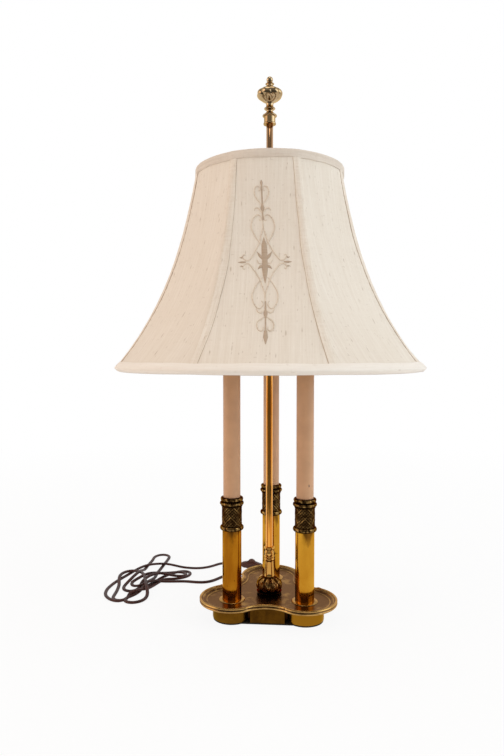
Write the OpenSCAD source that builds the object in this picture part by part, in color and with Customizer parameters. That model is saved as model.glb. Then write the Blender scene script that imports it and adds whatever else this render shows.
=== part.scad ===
// Bouillotte lamp: trefoil tray base, three candle lights round a central rod, and a bell shade that
// slides on the rod. Origin on the table under the rod, +Z up, -Y towards the viewer. Millimetres.

/* [Base] */
// Distance between two candle axes
candle_spacing = 95; // [88:1:110]
// Outer radius of each tray lobe
lobe_r = 42.5; // [38:0.5:46]
// Radius of the hollow arc between two lobes
notch_r = 38; // [30:1:60]
// Height of the plinth wall above the felt
plinth_h = 20.5; // [19:0.5:30]
// Radius of each plinth lobe
plinth_lobe_r = 25; // [22:0.5:30]
// How far the flat plinth walls stand outside the candle centre lines
plinth_wall_out = 20.5; // [14:0.5:21]
// Thickness of the plinth wall
plinth_wall = 2.5; // [1.5:0.25:4]
// Thickness of the plinth's top plate
plinth_top = 3; // [2:0.25:5]
// Thickness of the felt under the base
felt_t = 1.5; // [1:0.25:3]
// Thickness of the tray floor
tray_t = 2; // [1.5:0.25:3]
// Height of the tray rim bead
rim_h = 5.5; // [4:0.25:7]
// Width of the tray rim bead
rim_w = 4; // [3:0.25:6]
// Thickness of the iron weight
weight_h = 11; // [6:0.5:12]

/* [Candles] */
// Outer diameter of the brass tubes
tube_d = 25; // [23:0.25:28]
// Wall of the brass tubes
tube_wall = 1; // [0.6:0.1:2]
// Height of the brass tubes above the tray
tube_h = 93; // [70:1:120]
// Height of the cast collars
collar_h = 47; // [36:1:60]
// Wall of the collars
collar_wall = 1.4; // [1:0.1:2]
// How far the collar beads stand out
collar_bead = 2.6; // [1.5:0.1:4]
// Outer diameter of the ivory sleeves
sleeve_d = 22.4; // [20:0.2:24]
// Wall of the ivory sleeves
sleeve_wall = 0.9; // [0.6:0.1:1.2]
// Length of the ivory sleeves
sleeve_h = 221; // [190:1:240]
// Outer diameter of the threaded pipes in the candles
pipe_d = 9.7; // [8:0.1:10]
// Bore of the threaded pipes in the candles
pipe_bore = 6.6; // [5:0.1:7]
// Length of the candle sockets
socket_h = 45; // [36:1:55]
// Diameter of the bulb screw caps
bulb_cap_d = 11.9; // [11:0.1:12]
// Length of the bulb screw caps
bulb_cap_h = 21; // [18:0.5:24]
// Largest diameter of the bulb glass
bulb_d = 32; // [28:1:35]
// Length of the bulb glass
bulb_h = 72; // [60:1:80]
// Wall of the bulb glass
bulb_wall = 0.8; // [0.6:0.1:1.2]
// Running clearance of turning and sliding fits
fit_gap = 0.05; // [0.02:0.01:0.08]

/* [Rod] */
// Outer diameter of the rod
rod_d = 9; // [8:0.5:12]
// Bore of the rod
rod_bore = 6.4; // [5.6:0.1:7]
// Length of the rod
rod_h = 573; // [540:1:620]
// Height of the knop above its foot
knop_h = 15; // [12:0.5:20]
// Diameter of the knop
knop_d = 34; // [30:0.5:38]
// Height of the saucer under the knop
saucer_h = 2.5; // [2:0.25:4]
// Height of the turned column
column_h = 45; // [38:1:60]
// Diameter of the column's lower flange
column_flange_d = 15; // [13:0.5:18]

/* [Finial] */
// Height of the cap on the rod
cap_h = 16; // [13:0.5:20]
// Diameter of the cap's barrel
cap_d = 15; // [13:0.5:18]
// Height of the finial above its cap
finial_h = 46.5; // [40:0.5:56]
// Diameter of the finial's lobed ball
finial_d = 32; // [26:0.5:36]
// Diameter of the finial's stud
stud_d = 5; // [4:0.5:6]

/* [Shade] */
// Outer diameter at the top ring
shade_top_d = 194; // [170:2:220]
// Outer diameter at the bottom ring
shade_bottom_d = 404; // [360:2:440]
// Height of the shade
shade_h = 256; // [230:1:290]
// Height of the shade's lower edge above the table
shade_z = 327.5; // [310:1:360]
// Thickness of cloth and lining together
cloth_t = 1.2; // [0.8:0.1:2]
// Height of the trims
trim_h = 9.6; // [7:0.2:14]
// Thickness of the trims outside the cloth
trim_t = 0.9; // [0.6:0.1:1.5]
// Thickness of the frame wires
wire_d = 3; // [2:0.25:4]
// How far the spider's hub lies below the top ring
spider_drop = 12; // [4:1:20]
// Diameter of the spider's hub
hub_d = 24; // [20:1:30]
// Thickness of the spider's hub
hub_t = 2.5; // [1.5:0.25:4]
// Width of the spider's arms
arm_w = 5; // [3:0.5:8]
// Height of the sliding collar
slider_h = 12; // [9:0.5:16]
// Diameter of the sliding collar
slider_d = 20; // [16:0.5:26]
// Diameter of the thumb screw
screw_d = 4; // [3:0.25:5]
// Diameter of the thumb screw's head
screw_head_d = 11; // [8:0.5:14]
// Length of the thumb screw outside the collar
screw_out = 14; // [10:0.5:20]

/* [Cord] */
// Diameter of the cord
cord_d = 5; // [4:0.25:6]
// Height of the cord's exit above the table
exit_z = 8; // [6:0.5:12]
// Length of the cord bushing outside the plinth
bushing_out = 7; // [5:0.5:12]
// Length of the in-line switch
switch_l = 34; // [28:1:44]
// Height of the in-line switch
switch_h = 12.5; // [10:0.5:16]
// Thickness of the in-line switch
switch_t = 10; // [8:0.5:14]
// Diameter of the switch's thumb wheel
wheel_d = 14; // [12:0.5:16]
// Thickness of the switch's thumb wheel
wheel_t = 4; // [3:0.25:5]
// Length of the plug body
plug_l = 30; // [26:1:36]
// Width of the plug body
plug_w = 24; // [20:1:28]
// Height of the plug body
plug_h = 16; // [12:0.5:20]
// Length of the plug blades
blade_l = 17; // [15:0.5:19]

/* [Hidden] */
$fn = 64;
slip = 0.3;       // gap between pieces that only lie near each other
inner_gap = 1;    // gap round the weight inside the plinth

// Base
lobe_angles = [210, 330, 90];
notch_angles = [270, 30, 150];
candle_r = candle_spacing / sqrt(3);
notch_away = candle_r / 2 + sqrt(pow(lobe_r + notch_r, 2) - pow(candle_spacing / 2, 2));
plinth_z = felt_t;
tray_z = plinth_z + plinth_h;
floor_z = tray_z + tray_t;
rim_z = tray_z + tray_t / 2;
rim_in = 2.5;     // inner step of the rim
seam_step = 0.1;  // how far the rim steps in where a lobe ends and a hollow arc begins
nut_h = 5;
nut_r = 8;
tie_d = rod_bore;
tie_nut_h = 4;
weight_z = tray_z - plinth_top - weight_h;
tie_foot_z = weight_z - tie_nut_h - 0.5;
pocket_r = nut_r + 1.5;
exit_slot = cord_d + 3;

// Candles, by height
tube_r = tube_d / 2;
sleeve_r = sleeve_d / 2;
collar_z = floor_z + tube_h - 3;      // the collar laps the tube by 3
lap = 3;
web_t = 2.5;
sleeve_z = collar_z + lap + web_t;
sleeve_top = sleeve_z + sleeve_h;
collar_in = sleeve_r + 0.15;
collar_r = max(collar_in, tube_r - 0.9) + collar_wall;
bead_r = collar_r + collar_bead;
socket_top = sleeve_top - 2;
socket_z = socket_top - socket_h;
socket_r = sleeve_r - sleeve_wall - 0.2;
pipe_z = tray_z - plinth_top - nut_h - 1;
pipe_top = socket_z + 6;
cap_bore_r = bulb_cap_d / 2 + fit_gap;
cap_z = socket_top - bulb_cap_h;
glass_z = socket_top + 3;

// Rod, column and knop
saucer_z = floor_z;
knop_z = saucer_z + saucer_h;
column_z = knop_z + knop_h;
rod_z = column_z + column_h;
rod_top = rod_z + rod_h - 6;
tie_top = rod_z + 24;
rod_seat = 6;     // the rod stands this deep in the column

// Finial
fcap_z = rod_top - 8;
finial_z = fcap_z + cap_h;

// Shade
shade_top_z = shade_z + shade_h;
hub_z = shade_top_z - spider_drop - hub_t;
slider_z = hub_z - slider_h;
panels = 8;
panel_rows = 14;
panel_cols = 6;
flare = 0.5;      // share of the spread that runs straight down
top_r = shade_top_d / 2 - trim_t;
bottom_r = shade_bottom_d / 2 - trim_t;
arms = 3;
trim_lip = 0.6;   // how far the trims wrap over the cloth's edges
rib_w = 0.8 * wire_d;
rib_inset = cloth_t + rib_w / 2 * (1 + tan(180 / panels)) + slip;

// Switch and plug places
switch_at = [-36, 157];
switch_turn = -14;
switch_axle_r = 1.5;
wheel_z = switch_h + 2.5 - wheel_d / 2;
plug_at = [-56, 30];
blade_gap = 12.7;
blade_w = 6.35;
blade_t = 1.5;

// The cord's route, piece by piece, from the bushing to the plug
run_exit = [[0, 86.8, 8], [0, 96, 7], [0, 107, 4.5], [1, 119, 2.6], [0, 131, 2.6],
    [-4, 142, 3.4], [-11, 150, 5], [-19.5, 152.9, 6.2]];
run_long = [[-52.5, 161.1, 6.2], [-62, 163, 4.5], [-74, 163, 2.6], [-88, 157, 2.6],
    [-101, 146, 2.6], [-115, 137, 2.6], [-131, 133, 2.6], [-147, 135, 3], [-162, 138, 6],
    [-176, 139, 8.4], [-190, 137, 8.4], [-203, 131, 8.2], [-214, 120, 5.5], [-222, 105, 2.6],
    [-228, 88, 2.6], [-234, 70, 2.6], [-238, 52, 2.6], [-239, 35, 2.6], [-235, 18, 2.6],
    [-226, 6, 2.6], [-213, 1, 2.6], [-207, 3, 2.6]];
loop_right = [[-169, 90, 2.6], [-160, 104, 2.6], [-149, 115, 2.6], [-138, 119, 2.6],
    [-130, 111, 2.6], [-130, 98, 2.6], [-138, 88, 2.6], [-151, 84, 2.6], [-166, 82, 2.6]];
loop_ring = [[-207, 14, 2.6], [-216, 26, 2.6], [-222, 40, 2.6], [-226, 54, 3.5], [-230, 67, 6.5],
    [-233, 79, 8.4], [-233, 91, 8.4], [-228, 101, 8.4], [-218, 105, 8.4], [-208, 100, 10],
    [-200, 89, 13], [-193, 75, 14], [-188, 60, 14], [-183, 45, 14], [-178, 32, 10],
    [-175, 18, 4.5], [-177, 5, 2.6], [-185, -5, 2.6], [-196, -6, 2.6], [-201, 1, 2.6]];
loop_back = [[-180, 88, 2.6], [-181, 104, 2.6], [-180, 120, 2.6], [-179, 137, 2.6],
    [-178, 154, 2.6], [-179, 171, 2.6], [-182, 185, 2.6], [-189, 192, 2.6], [-196, 184, 2.6],
    [-200, 168, 2.6], [-203, 151, 2.6], [-204, 134, 2.6], [-204, 117, 2.6], [-201, 102, 2.6],
    [-194, 90, 2.6], [-184, 80, 2.6]];
run_short = [[-168, 74, 2.6], [-150, 75, 2.6], [-131, 77, 2.6], [-116, 75, 2.6], [-103, 75, 2.6],
    [-92, 80, 2.6], [-83, 91, 2.6], [-75, 102, 2.6], [-65, 107, 2.6], [-57, 101, 3],
    [-55, 89, 4.5], [-56, 76, 6.8], [-56, 60, 8]];
hank_low = [-201, 10];
hank_high = [-173, 84];
hank_r = 13;
hank_h = 11;

// ---- shared shapes ----

function polar(r, a) = [r * cos(a), r * sin(a)];
function lobe_at(i) = polar(candle_r, lobe_angles[i]);
function notch_at(i) = polar(notch_away, notch_angles[i]);

// The three-lobed outline, grown outwards by d, its lobes smaller by gap
module trefoil(d = 0, gap = 0) {
    difference() {
        union() {
            for (i = [0:2]) translate(lobe_at(i)) circle(lobe_r + d - gap);
            polygon([lobe_at(0), notch_at(0), lobe_at(1), notch_at(1), lobe_at(2), notch_at(2)]);
        }
        for (i = [0:2]) translate(notch_at(i)) circle(notch_r - d);
    }
}

// The plinth's outline: three round feet joined by flat walls
module plinth_outline(d = 0) {
    for (i = [0:2]) translate(lobe_at(i)) circle(plinth_lobe_r + d);
    for (a = notch_angles) rotate(a) translate([candle_r / 2, 0])
        square([2 * (plinth_wall_out + d), candle_spacing], center = true);
    circle(candle_r / 2);
}

// A ring profile swept along the three-lobed outline; its points are [distance outwards, height]
module along_trefoil(profile) {
    for (i = [0:2]) {
        c = lobe_at(i);
        away = polar(4 * lobe_r, lobe_angles[i]);
        intersection() {
            translate(c) rotate_extrude() polygon([for (p = profile) [lobe_r + p[0], p[1]]]);
            linear_extrude(4 * floor_z)
                polygon([c, notch_at(i), notch_at(i) + away, notch_at((i + 2) % 3) + away,
                    notch_at((i + 2) % 3)]);
        }
        f = notch_at(i);
        intersection() {
            translate(f) rotate_extrude() polygon([for (p = profile) [notch_r - p[0] + seam_step, p[1]]]);
            linear_extrude(4 * floor_z) polygon([f, lobe_at(i), lobe_at((i + 1) % 3)]);
        }
    }
}

module ring(r_out, r_in, h) {
    difference() {
        cylinder(r = r_out, h = h);
        translate([0, 0, -1]) cylinder(r = r_in, h = h + 2);
    }
}

module hex(r, h) { cylinder(r = r, h = h, $fn = 6); }

module at_candle(i) { translate(lobe_at(i)) children(); }

// A half-round bead's points, from its foot at [r, z] with height h, standing out by o
function bead(r, z, h, o, n = 8) = [for (k = [0:n]) [r + o * sin(180 * k / n), z + h * k / n]];

// ---- base ----

module felt_pad() {
    color("darkolivegreen") difference() {
        linear_extrude(felt_t) plinth_outline(-0.5);
        translate([0, 0, -1]) cylinder(r = nut_r, h = felt_t + 2);
    }
}

module base_plinth() {
    color("peru") difference() {
        translate([0, 0, plinth_z]) linear_extrude(plinth_h) plinth_outline();
        translate([0, 0, plinth_z - 1]) linear_extrude(plinth_h - plinth_top + 1)
            plinth_outline(-plinth_wall);
        for (i = [0:2]) at_candle(i) cylinder(r = pipe_d / 2, h = tray_z + 1);
        cylinder(r = tie_d / 2, h = tray_z + 1);
        translate([0, candle_r, exit_z]) rotate([-90, 0, 0])
            cylinder(r = cord_d / 2 + 1, h = plinth_lobe_r + 5);
    }
}

module base_weight() {
    color("dimgray") difference() {
        translate([0, 0, weight_z]) linear_extrude(weight_h)
            plinth_outline(-plinth_wall - inner_gap);
        for (i = [0:2]) at_candle(i) cylinder(r = pocket_r, h = tray_z);
        cylinder(r = tie_d / 2, h = tray_z);
        translate([-exit_slot / 2, candle_r / 2, 0]) cube([exit_slot, 2 * lobe_r, tray_z]);
    }
}

module base_tray() {
    inside = rim_w;
    color("saddlebrown") difference() {
        union() {
            translate([0, 0, tray_z]) linear_extrude(tray_t) trefoil(-rim_w, 0.2);
            along_trefoil(concat([[-inside - 0.5, tray_z], [-1, tray_z]],
                bead(-1, rim_z, rim_h - 0.6, 1), [[-1.6, rim_z + rim_h],
                [-rim_in, rim_z + rim_h - 0.3], [-rim_in, rim_z + rim_h - 1.6],
                [-inside, rim_z + rim_h - 2.2], [-inside - 0.5, floor_z]]));
        }
        for (i = [0:2]) at_candle(i) cylinder(r = pipe_d / 2, h = floor_z + 1);
        cylinder(r = tie_d / 2, h = floor_z + 1);
    }
}

// The low rings that the tubes stand in
module candle_seats() {
    color("goldenrod") for (i = [0:2]) at_candle(i) translate([0, 0, floor_z])
        rotate_extrude() polygon(concat([[tube_r, 0]], [for (k = [0:6])
            [tube_r + 1.6 + 1.6 * cos(30 * k), 1.6 * sin(30 * k)]]));
}

module cord_bushing() {
    out = candle_r + plinth_lobe_r;
    color("black") translate([0, out, exit_z]) rotate([-90, 0, 0]) difference() {
        union() {
            translate([0, 0, -plinth_wall]) cylinder(r = cord_d / 2 + 1, h = plinth_wall);
            cylinder(r1 = cord_d / 2 + 2.5, r2 = cord_d / 2 + 1.2, h = bushing_out);
        }
        translate([0, 0, -plinth_wall - 1]) cylinder(r = cord_d / 2, h = 2 * plinth_wall + bushing_out);
    }
}

// The joint of the cord and the lead wires, in the weight's slot
module wire_connector() {
    long = 14;
    color("ivory") translate([0, candle_r / 2 + 2, weight_z + weight_h / 2]) rotate([-90, 0, 0])
        cylinder(r1 = 2.2, r2 = 3.4, h = long);
}

module tie_pipe() {
    color("silver") translate([0, 0, tie_foot_z])
        ring(tie_d / 2, tie_d / 2 - 1.2, tie_top - tie_foot_z);
}

module tie_nut() {
    color("silver") translate([0, 0, weight_z - tie_nut_h]) difference() {
        hex(nut_r - 1.5, tie_nut_h);
        translate([0, 0, -1]) cylinder(r = tie_d / 2, h = tie_nut_h + 2);
    }
}

module candle_nuts() {
    color("silver") for (i = [0:2]) at_candle(i) translate([0, 0, tray_z - plinth_top - nut_h])
        difference() {
            hex(nut_r, nut_h);
            translate([0, 0, -1]) cylinder(r = pipe_d / 2, h = nut_h + 2);
        }
}

// ---- centre ----

module turned(points, bore_r) {
    low = points[0][1];
    high = points[len(points) - 1][1];
    rotate_extrude() polygon(concat([[bore_r, low]], points, [[bore_r, high]]));
}

module saucer() {
    color("goldenrod") translate([0, 0, saucer_z]) turned([[knop_d * 0.38, 0],
        [knop_d * 0.42, 0.3], [knop_d / 2 - 0.5, saucer_h - 1], [knop_d / 2 - 0.5, saucer_h]],
        tie_d / 2);
}

module knop() {
    lobes = 12;
    flat = knop_d * 0.36;
    color("darkgoldenrod") translate([0, 0, knop_z]) difference() {
        turned([for (k = [0:12]) let (a = -90 + 15 * k)
            [flat + (knop_d / 2 - flat) * cos(a) - (a > 0 ? (flat - 8) * (1 - cos(a)) : 0),
            knop_h / 2 * (1 + sin(a))]], tie_d / 2);
        for (k = [0:lobes - 1]) rotate(360 * (k + 0.5) / lobes)
            translate([knop_d / 2 + 1.2, 0, -1]) cylinder(r = 2, h = knop_h + 2, $fn = 24);
    }
}

module column() {
    f = column_flange_d / 2;
    h = column_h;
    body = concat([[8, 0], [7.9, 1.2], [7.2, 3], [6.5, h * 0.22], [5.8, h * 0.4], [5.4, h * 0.54]],
        [[5.3, h * 0.57], [6.2, h * 0.61], [f - 0.8, h * 0.635], [f, h * 0.65], [f, h * 0.675],
        [f - 0.9, h * 0.69], [5.9, h * 0.71], [6.3, h * 0.77], [6, h * 0.83], [5.2, h * 0.87],
        [5.2, h * 0.9], [5.9, h * 0.93], [f - 0.6, h * 0.95], [f - 0.5, h]]);
    color("goldenrod") translate([0, 0, column_z]) difference() {
        turned(body, tie_d / 2);
        translate([0, 0, h - rod_seat]) cylinder(r = rod_d / 2, h = rod_seat + 1);
    }
}

module rod() {
    color("gold") translate([0, 0, rod_z - rod_seat])
        ring(rod_d / 2, rod_bore / 2, rod_h);
}

// ---- candles ----

module candle_tube(i) {
    color("goldenrod") at_candle(i) translate([0, 0, floor_z]) ring(tube_r, tube_r - tube_wall, tube_h);
}

module candle_collar(i) {
    h = collar_h;
    low = 7;      // height of the lower bead
    high = 6;     // height of each upper bead
    outside = concat([[tube_r + 0.7, 0]], bead(collar_r, 1, low - 1, collar_bead),
        [[collar_r, low + 0.2], [collar_r, h - 2 * high - 1.5]],
        bead(collar_r, h - 2 * high - 1.2, 1.6, 0.8),
        bead(collar_r, h - 2 * high + 0.6, high - 0.4, collar_bead),
        bead(collar_r, h - high + 0.4, high - 0.4, collar_bead - 0.6));
    color("olive") at_candle(i) translate([0, 0, collar_z]) difference() {
        rotate_extrude() polygon(concat([[0, 0]], outside, [[0, h]]));
        translate([0, 0, -1]) cylinder(r = tube_r, h = lap + 1);
        translate([0, 0, -1]) cylinder(r = pipe_d / 2, h = h);
        translate([0, 0, lap + web_t]) cylinder(r = collar_in, h = h);
    }
}

module candle_sleeve(i) {
    color("antiquewhite") at_candle(i) translate([0, 0, sleeve_z])
        ring(sleeve_r, sleeve_r - sleeve_wall, sleeve_h);
}

module candle_pipe(i) {
    color("silver") at_candle(i) translate([0, 0, pipe_z])
        ring(pipe_d / 2, pipe_bore / 2, pipe_top - pipe_z);
}

// Two insulated leads up each candle pipe
module lead_wires() {
    lead_r = 1;
    aside = pipe_bore / 2 - lead_r - slip;
    color("dimgray") for (i = [0:2], s = [-1, 1]) at_candle(i) translate([s * aside, 0, pipe_z + 1])
        cylinder(r = lead_r, h = pipe_top + 4 - pipe_z - 1, $fn = 16);
}

module socket(i) {
    chamber_r = pipe_bore / 2;
    color("black") at_candle(i) difference() {
        translate([0, 0, socket_z]) cylinder(r = socket_r, h = socket_h);
        translate([0, 0, socket_z - 1]) cylinder(r = pipe_d / 2, h = pipe_top - socket_z + 1);
        translate([0, 0, pipe_top - 1]) cylinder(r = chamber_r, h = 8);
        translate([0, 0, cap_z]) cylinder(r = cap_bore_r, h = socket_h);
    }
}

module bulb_cap(i) {
    color("silver") at_candle(i) union() {
        translate([0, 0, cap_z + 1]) cylinder(r = bulb_cap_d / 2, h = glass_z - cap_z - 1);
        translate([0, 0, cap_z]) cylinder(r = 2.5, h = 1.5);
        translate([0, 0, socket_top + 0.4]) cylinder(r = bulb_cap_d / 2 + 0.8, h = 2.6);
    }
}

// The bulb's outline: a torpedo on a short neck
function bulb_profile(r, h, n = 16) = [for (k = [0:n]) let (t = k / n)
    [r * (t < 0.35 ? 0.42 + 0.58 * sin(90 * t / 0.35) : cos(90 * pow((t - 0.35) / 0.65, 1.25))),
    h * t]];

module bulb_glass(i) {
    outer = bulb_profile(bulb_d / 2, bulb_h);
    inner = bulb_profile(bulb_d / 2 - bulb_wall, bulb_h - 2 * bulb_wall);
    color("whitesmoke", 0.4) at_candle(i) translate([0, 0, glass_z]) rotate_extrude()
        difference() {
            polygon(concat([[0, 0]], outer));
            translate([0, bulb_wall]) polygon(concat([[0, 0]], inner));
        }
}

// ---- finial ----

module finial_cap() {
    h = cap_h;
    r = cap_d / 2;
    outside = concat([[0, 0], [r + 0.6, 0], [r + 0.6, 1.6], [r, 2], [r, h - 6.4], [r + 1.8, h - 6],
        [r + 2, h - 5], [r + 1.2, h - 3.6], [r - 1, h - 1.8], [r - 3, h - 0.4], [r - 3, h], [0, h]]);
    color("goldenrod") translate([0, 0, fcap_z]) difference() {
        rotate_extrude() polygon(outside);
        translate([0, 0, -1]) cylinder(r = rod_d / 2, h = 9);
        translate([0, 0, 6]) cylinder(r = stud_d / 2 + fit_gap, h = h);
    }
}

module finial() {
    h = finial_h;
    r = finial_d / 2;
    ball_z = h * 0.49;
    ball_h = h * 0.21;
    lobes = 14;
    low = [[0, -6], [stud_d / 2, -6], [stud_d / 2, 0], [4.2, 0], [4, h * 0.05], [5.6, h * 0.08],
        [7, h * 0.11], [6.8, h * 0.14], [4.8, h * 0.16], [4.5, h * 0.2], [6, h * 0.27]];
    ball = [for (k = [0:14]) let (a = -72 + 10.3 * k) [5 + (r - 5) * cos(a), ball_z + ball_h * sin(a)]];
    high = [[5, h * 0.72], [4.6, h * 0.76], [5.4, h * 0.79], [5.4, h * 0.81], [3, h * 0.84]];
    knob = [for (k = [0:8]) let (a = -60 + 18.75 * k) [4.2 * cos(a), h * 0.91 + h * 0.09 * sin(a)]];
    color("darkgoldenrod") translate([0, 0, finial_z]) difference() {
        rotate_extrude() polygon(concat(low, ball, high, knob));
        for (k = [0:lobes - 1]) rotate(360 * k / lobes)
            translate([r + 1.1, 0, ball_z - ball_h]) cylinder(r = 1.9, h = 2 * ball_h, $fn = 24);
    }
}

// ---- shade ----

// Rib radius at share s of the way down, and how far the cloth falls in between two ribs
function rib_r(s) = top_r + (bottom_r - top_r) * (flare * s + (1 - flare) * pow(s, 3));
function slack(s) = pow(sin(180 * pow(s, 0.8)), 0.6);
function ring_r(s) = rib_r(s) - rib_inset - 0.45 * wire_d;
function cloth_r(s, u) = let (a = 180 / panels, chord = cos(a) / cos(a * u))
    rib_r(s) * (1 - slack(s) * (1 - chord));
function cloth_point(s, u, angle, inset) = let (a = angle + 180 / panels * u, r = cloth_r(s, u) - inset)
    [r * cos(a), r * sin(a), shade_top_z - shade_h * s];

// One stretched panel as a closed sheet
module panel(angle) {
    nr = panel_rows;
    nc = panel_cols;
    side = (nr + 1) * (nc + 1);
    edge = 1 - 0.002;
    pts = [for (inset = [0, cloth_t], i = [0:nr], j = [0:nc])
        cloth_point(i / nr, edge * (2 * j / nc - 1), angle, inset)];
    function id(k, i, j) = k * side + i * (nc + 1) + j;
    skins = [for (i = [0:nr - 1], j = [0:nc - 1]) each [
        [id(0, i, j), id(0, i, j + 1), id(0, i + 1, j + 1)],
        [id(0, i, j), id(0, i + 1, j + 1), id(0, i + 1, j)],
        [id(1, i, j), id(1, i + 1, j + 1), id(1, i, j + 1)],
        [id(1, i, j), id(1, i + 1, j), id(1, i + 1, j + 1)]]];
    ends = [for (j = [0:nc - 1]) each [
        [id(0, 0, j), id(1, 0, j + 1), id(0, 0, j + 1)], [id(0, 0, j), id(1, 0, j), id(1, 0, j + 1)],
        [id(0, nr, j), id(0, nr, j + 1), id(1, nr, j + 1)],
        [id(0, nr, j), id(1, nr, j + 1), id(1, nr, j)]]];
    sides = [for (i = [0:nr - 1]) each [
        [id(0, i, 0), id(0, i + 1, 0), id(1, i + 1, 0)], [id(0, i, 0), id(1, i + 1, 0), id(1, i, 0)],
        [id(0, i, nc), id(1, i + 1, nc), id(0, i + 1, nc)],
        [id(0, i, nc), id(1, i, nc), id(1, i + 1, nc)]]];
    polyhedron(pts, concat(skins, ends, sides), convexity = 4);
}

module shade_panels() { color("linen") for (k = [0:panels - 1]) panel(270 + 360 * k / panels); }

module shade_top_trim() {
    r = rib_r(trim_h / shade_h) + slip;
    color("antiquewhite") translate([0, 0, shade_top_z]) rotate_extrude($fn = 96) polygon([
        [r, -trim_h], [r + trim_t, -trim_h], [top_r + trim_t, 0], [top_r + trim_t - 0.4, trim_lip],
        [top_r - cloth_t, trim_lip], [top_r - cloth_t, 0], [top_r, 0]]);
}

module shade_bottom_trim() {
    r = rib_r(1 - trim_h / shade_h) + slip;
    color("antiquewhite") translate([0, 0, shade_z]) rotate_extrude($fn = 96) polygon([
        [r, trim_h], [bottom_r, 0], [bottom_r - cloth_t, 0], [bottom_r - cloth_t, -trim_lip],
        [bottom_r + trim_t, -trim_lip], [r + trim_t, trim_h]]);
}

// Top ring, bottom ring and the ribs inside the cloth's seams
module shade_wires() {
    w = wire_d / 2;
    share = w / shade_h;
    color("darkgray") {
        for (at = [share, 1 - share]) translate([0, 0, shade_top_z - shade_h * at])
            rotate_extrude() translate([ring_r(at), 0]) circle(w, $fn = 24);
        for (k = [0:panels - 1]) rotate(270 + 360 * (k + 0.5) / panels)
            rib_wire([for (i = [0:panel_rows]) let (s = i / panel_rows)
                [rib_r(s) - rib_inset, shade_top_z - shade_h * s]], rib_w / 2);
    }
}

// A wire in the XZ plane through points
module rib_wire(pts, w) {
    n = len(pts);
    rows = [for (p = pts) each [[p[0] - w, -w, p[1]], [p[0] + w, -w, p[1]], [p[0] + w, w, p[1]],
        [p[0] - w, w, p[1]]]];
    skins = [for (i = [0:n - 2], j = [0:3]) [4 * i + j, 4 * i + (j + 1) % 4,
        4 * i + 4 + (j + 1) % 4, 4 * i + 4 + j]];
    polyhedron(rows, concat(skins, [[3, 2, 1, 0], [4 * n - 4, 4 * n - 3, 4 * n - 2, 4 * n - 1]]));
}

module shade_spider() {
    reach = ring_r(0.5 * wire_d / shade_h) - wire_d / 2 - slip;
    rise = spider_drop - wire_d / 2;
    angle = atan2(rise, reach - hub_d / 2);
    long = sqrt(pow(reach - hub_d / 2 + 1, 2) + pow(rise, 2));
    color("darkgoldenrod") {
        difference() {
            union() {
                translate([0, 0, hub_z]) cylinder(r = hub_d / 2, h = hub_t);
                for (k = [0:arms - 1]) rotate(30 + 360 * k / arms)
                    translate([hub_d / 2 - 1, 0, hub_z + hub_t / 2]) rotate([0, -angle, 0])
                        translate([0, -arm_w / 2, -hub_t / 2]) cube([long, arm_w, hub_t - 0.5]);
            }
            translate([0, 0, hub_z - 1]) cylinder(r = rod_d / 2 + slip, h = 2 * spider_drop);
        }
    }
}

module shade_slider() {
    r = slider_d / 2;
    color("goldenrod") translate([0, 0, slider_z]) difference() {
        turned([[r - 1, 0], [r, 1], [r, slider_h - 2], [r - 1, slider_h - 1], [r - 1, slider_h]],
            rod_d / 2 + fit_gap);
        translate([0, 0, slider_h / 2]) rotate([90, 0, 180])
            cylinder(r = screw_d / 2 + fit_gap, h = r + 2);
    }
}

// The slider's clamping screw, towards +Y, with a flat grip
module thumb_screw() {
    start = rod_d / 2 + 2 * fit_gap;
    r = slider_d / 2;
    color("goldenrod") translate([0, 0, slider_z + slider_h / 2]) rotate([-90, 0, 0]) union() {
        translate([0, 0, start]) cylinder(r = screw_d / 2, h = r + screw_out - start);
        translate([0, 0, r + 1]) cylinder(r = screw_d / 2 + 1.5, h = 2);
        translate([-screw_head_d / 2, -1.2, r + 5]) cube([screw_head_d, 2.4, screw_out - 5]);
    }
}

// ---- cord ----

// A tube of 8 sides through a list of points
module swept(pts, r) {
    n = len(pts);
    sides = 8;
    function tangent(i) = let (d = pts[min(i + 1, n - 1)] - pts[max(i - 1, 0)]) d / norm(d);
    function across(t) = let (v = cross(t, [0, 0, 1])) v / norm(v);
    rings = [for (i = [0:n - 1]) let (t = tangent(i), u = across(t), v = cross(u, t))
        for (k = [0:sides - 1]) let (a = 360 * (k + 0.5) / sides)
            pts[i] + r / cos(180 / sides) * (u * cos(a) + v * sin(a))];
    skin = [for (i = [0:n - 2], k = [0:sides - 1]) let (a = sides * i, b = (k + 1) % sides)
        [a + k, a + b, a + sides + b, a + sides + k]];
    polyhedron(rings, concat(skin, [[for (k = [sides - 1:-1:0]) k],
        [for (k = [0:sides - 1]) sides * (n - 1) + k]]), convexity = 10);
}

module cord() {
    color("sienna") for (run = [run_exit, run_long, loop_right, loop_ring, loop_back, run_short])
        swept(run, cord_d / 2);
}

module cord_hank() {
    along = hank_high - hank_low;
    color("sienna") translate([hank_low[0], hank_low[1], 0.1]) rotate(atan2(along[1], along[0]))
        linear_extrude(hank_h) union() {
            translate([0, -hank_r]) square([norm(along), 2 * hank_r]);
            circle(hank_r);
            translate([norm(along), 0]) circle(hank_r);
        }
}

module at_switch() { translate(switch_at) rotate(switch_turn) children(); }

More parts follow.
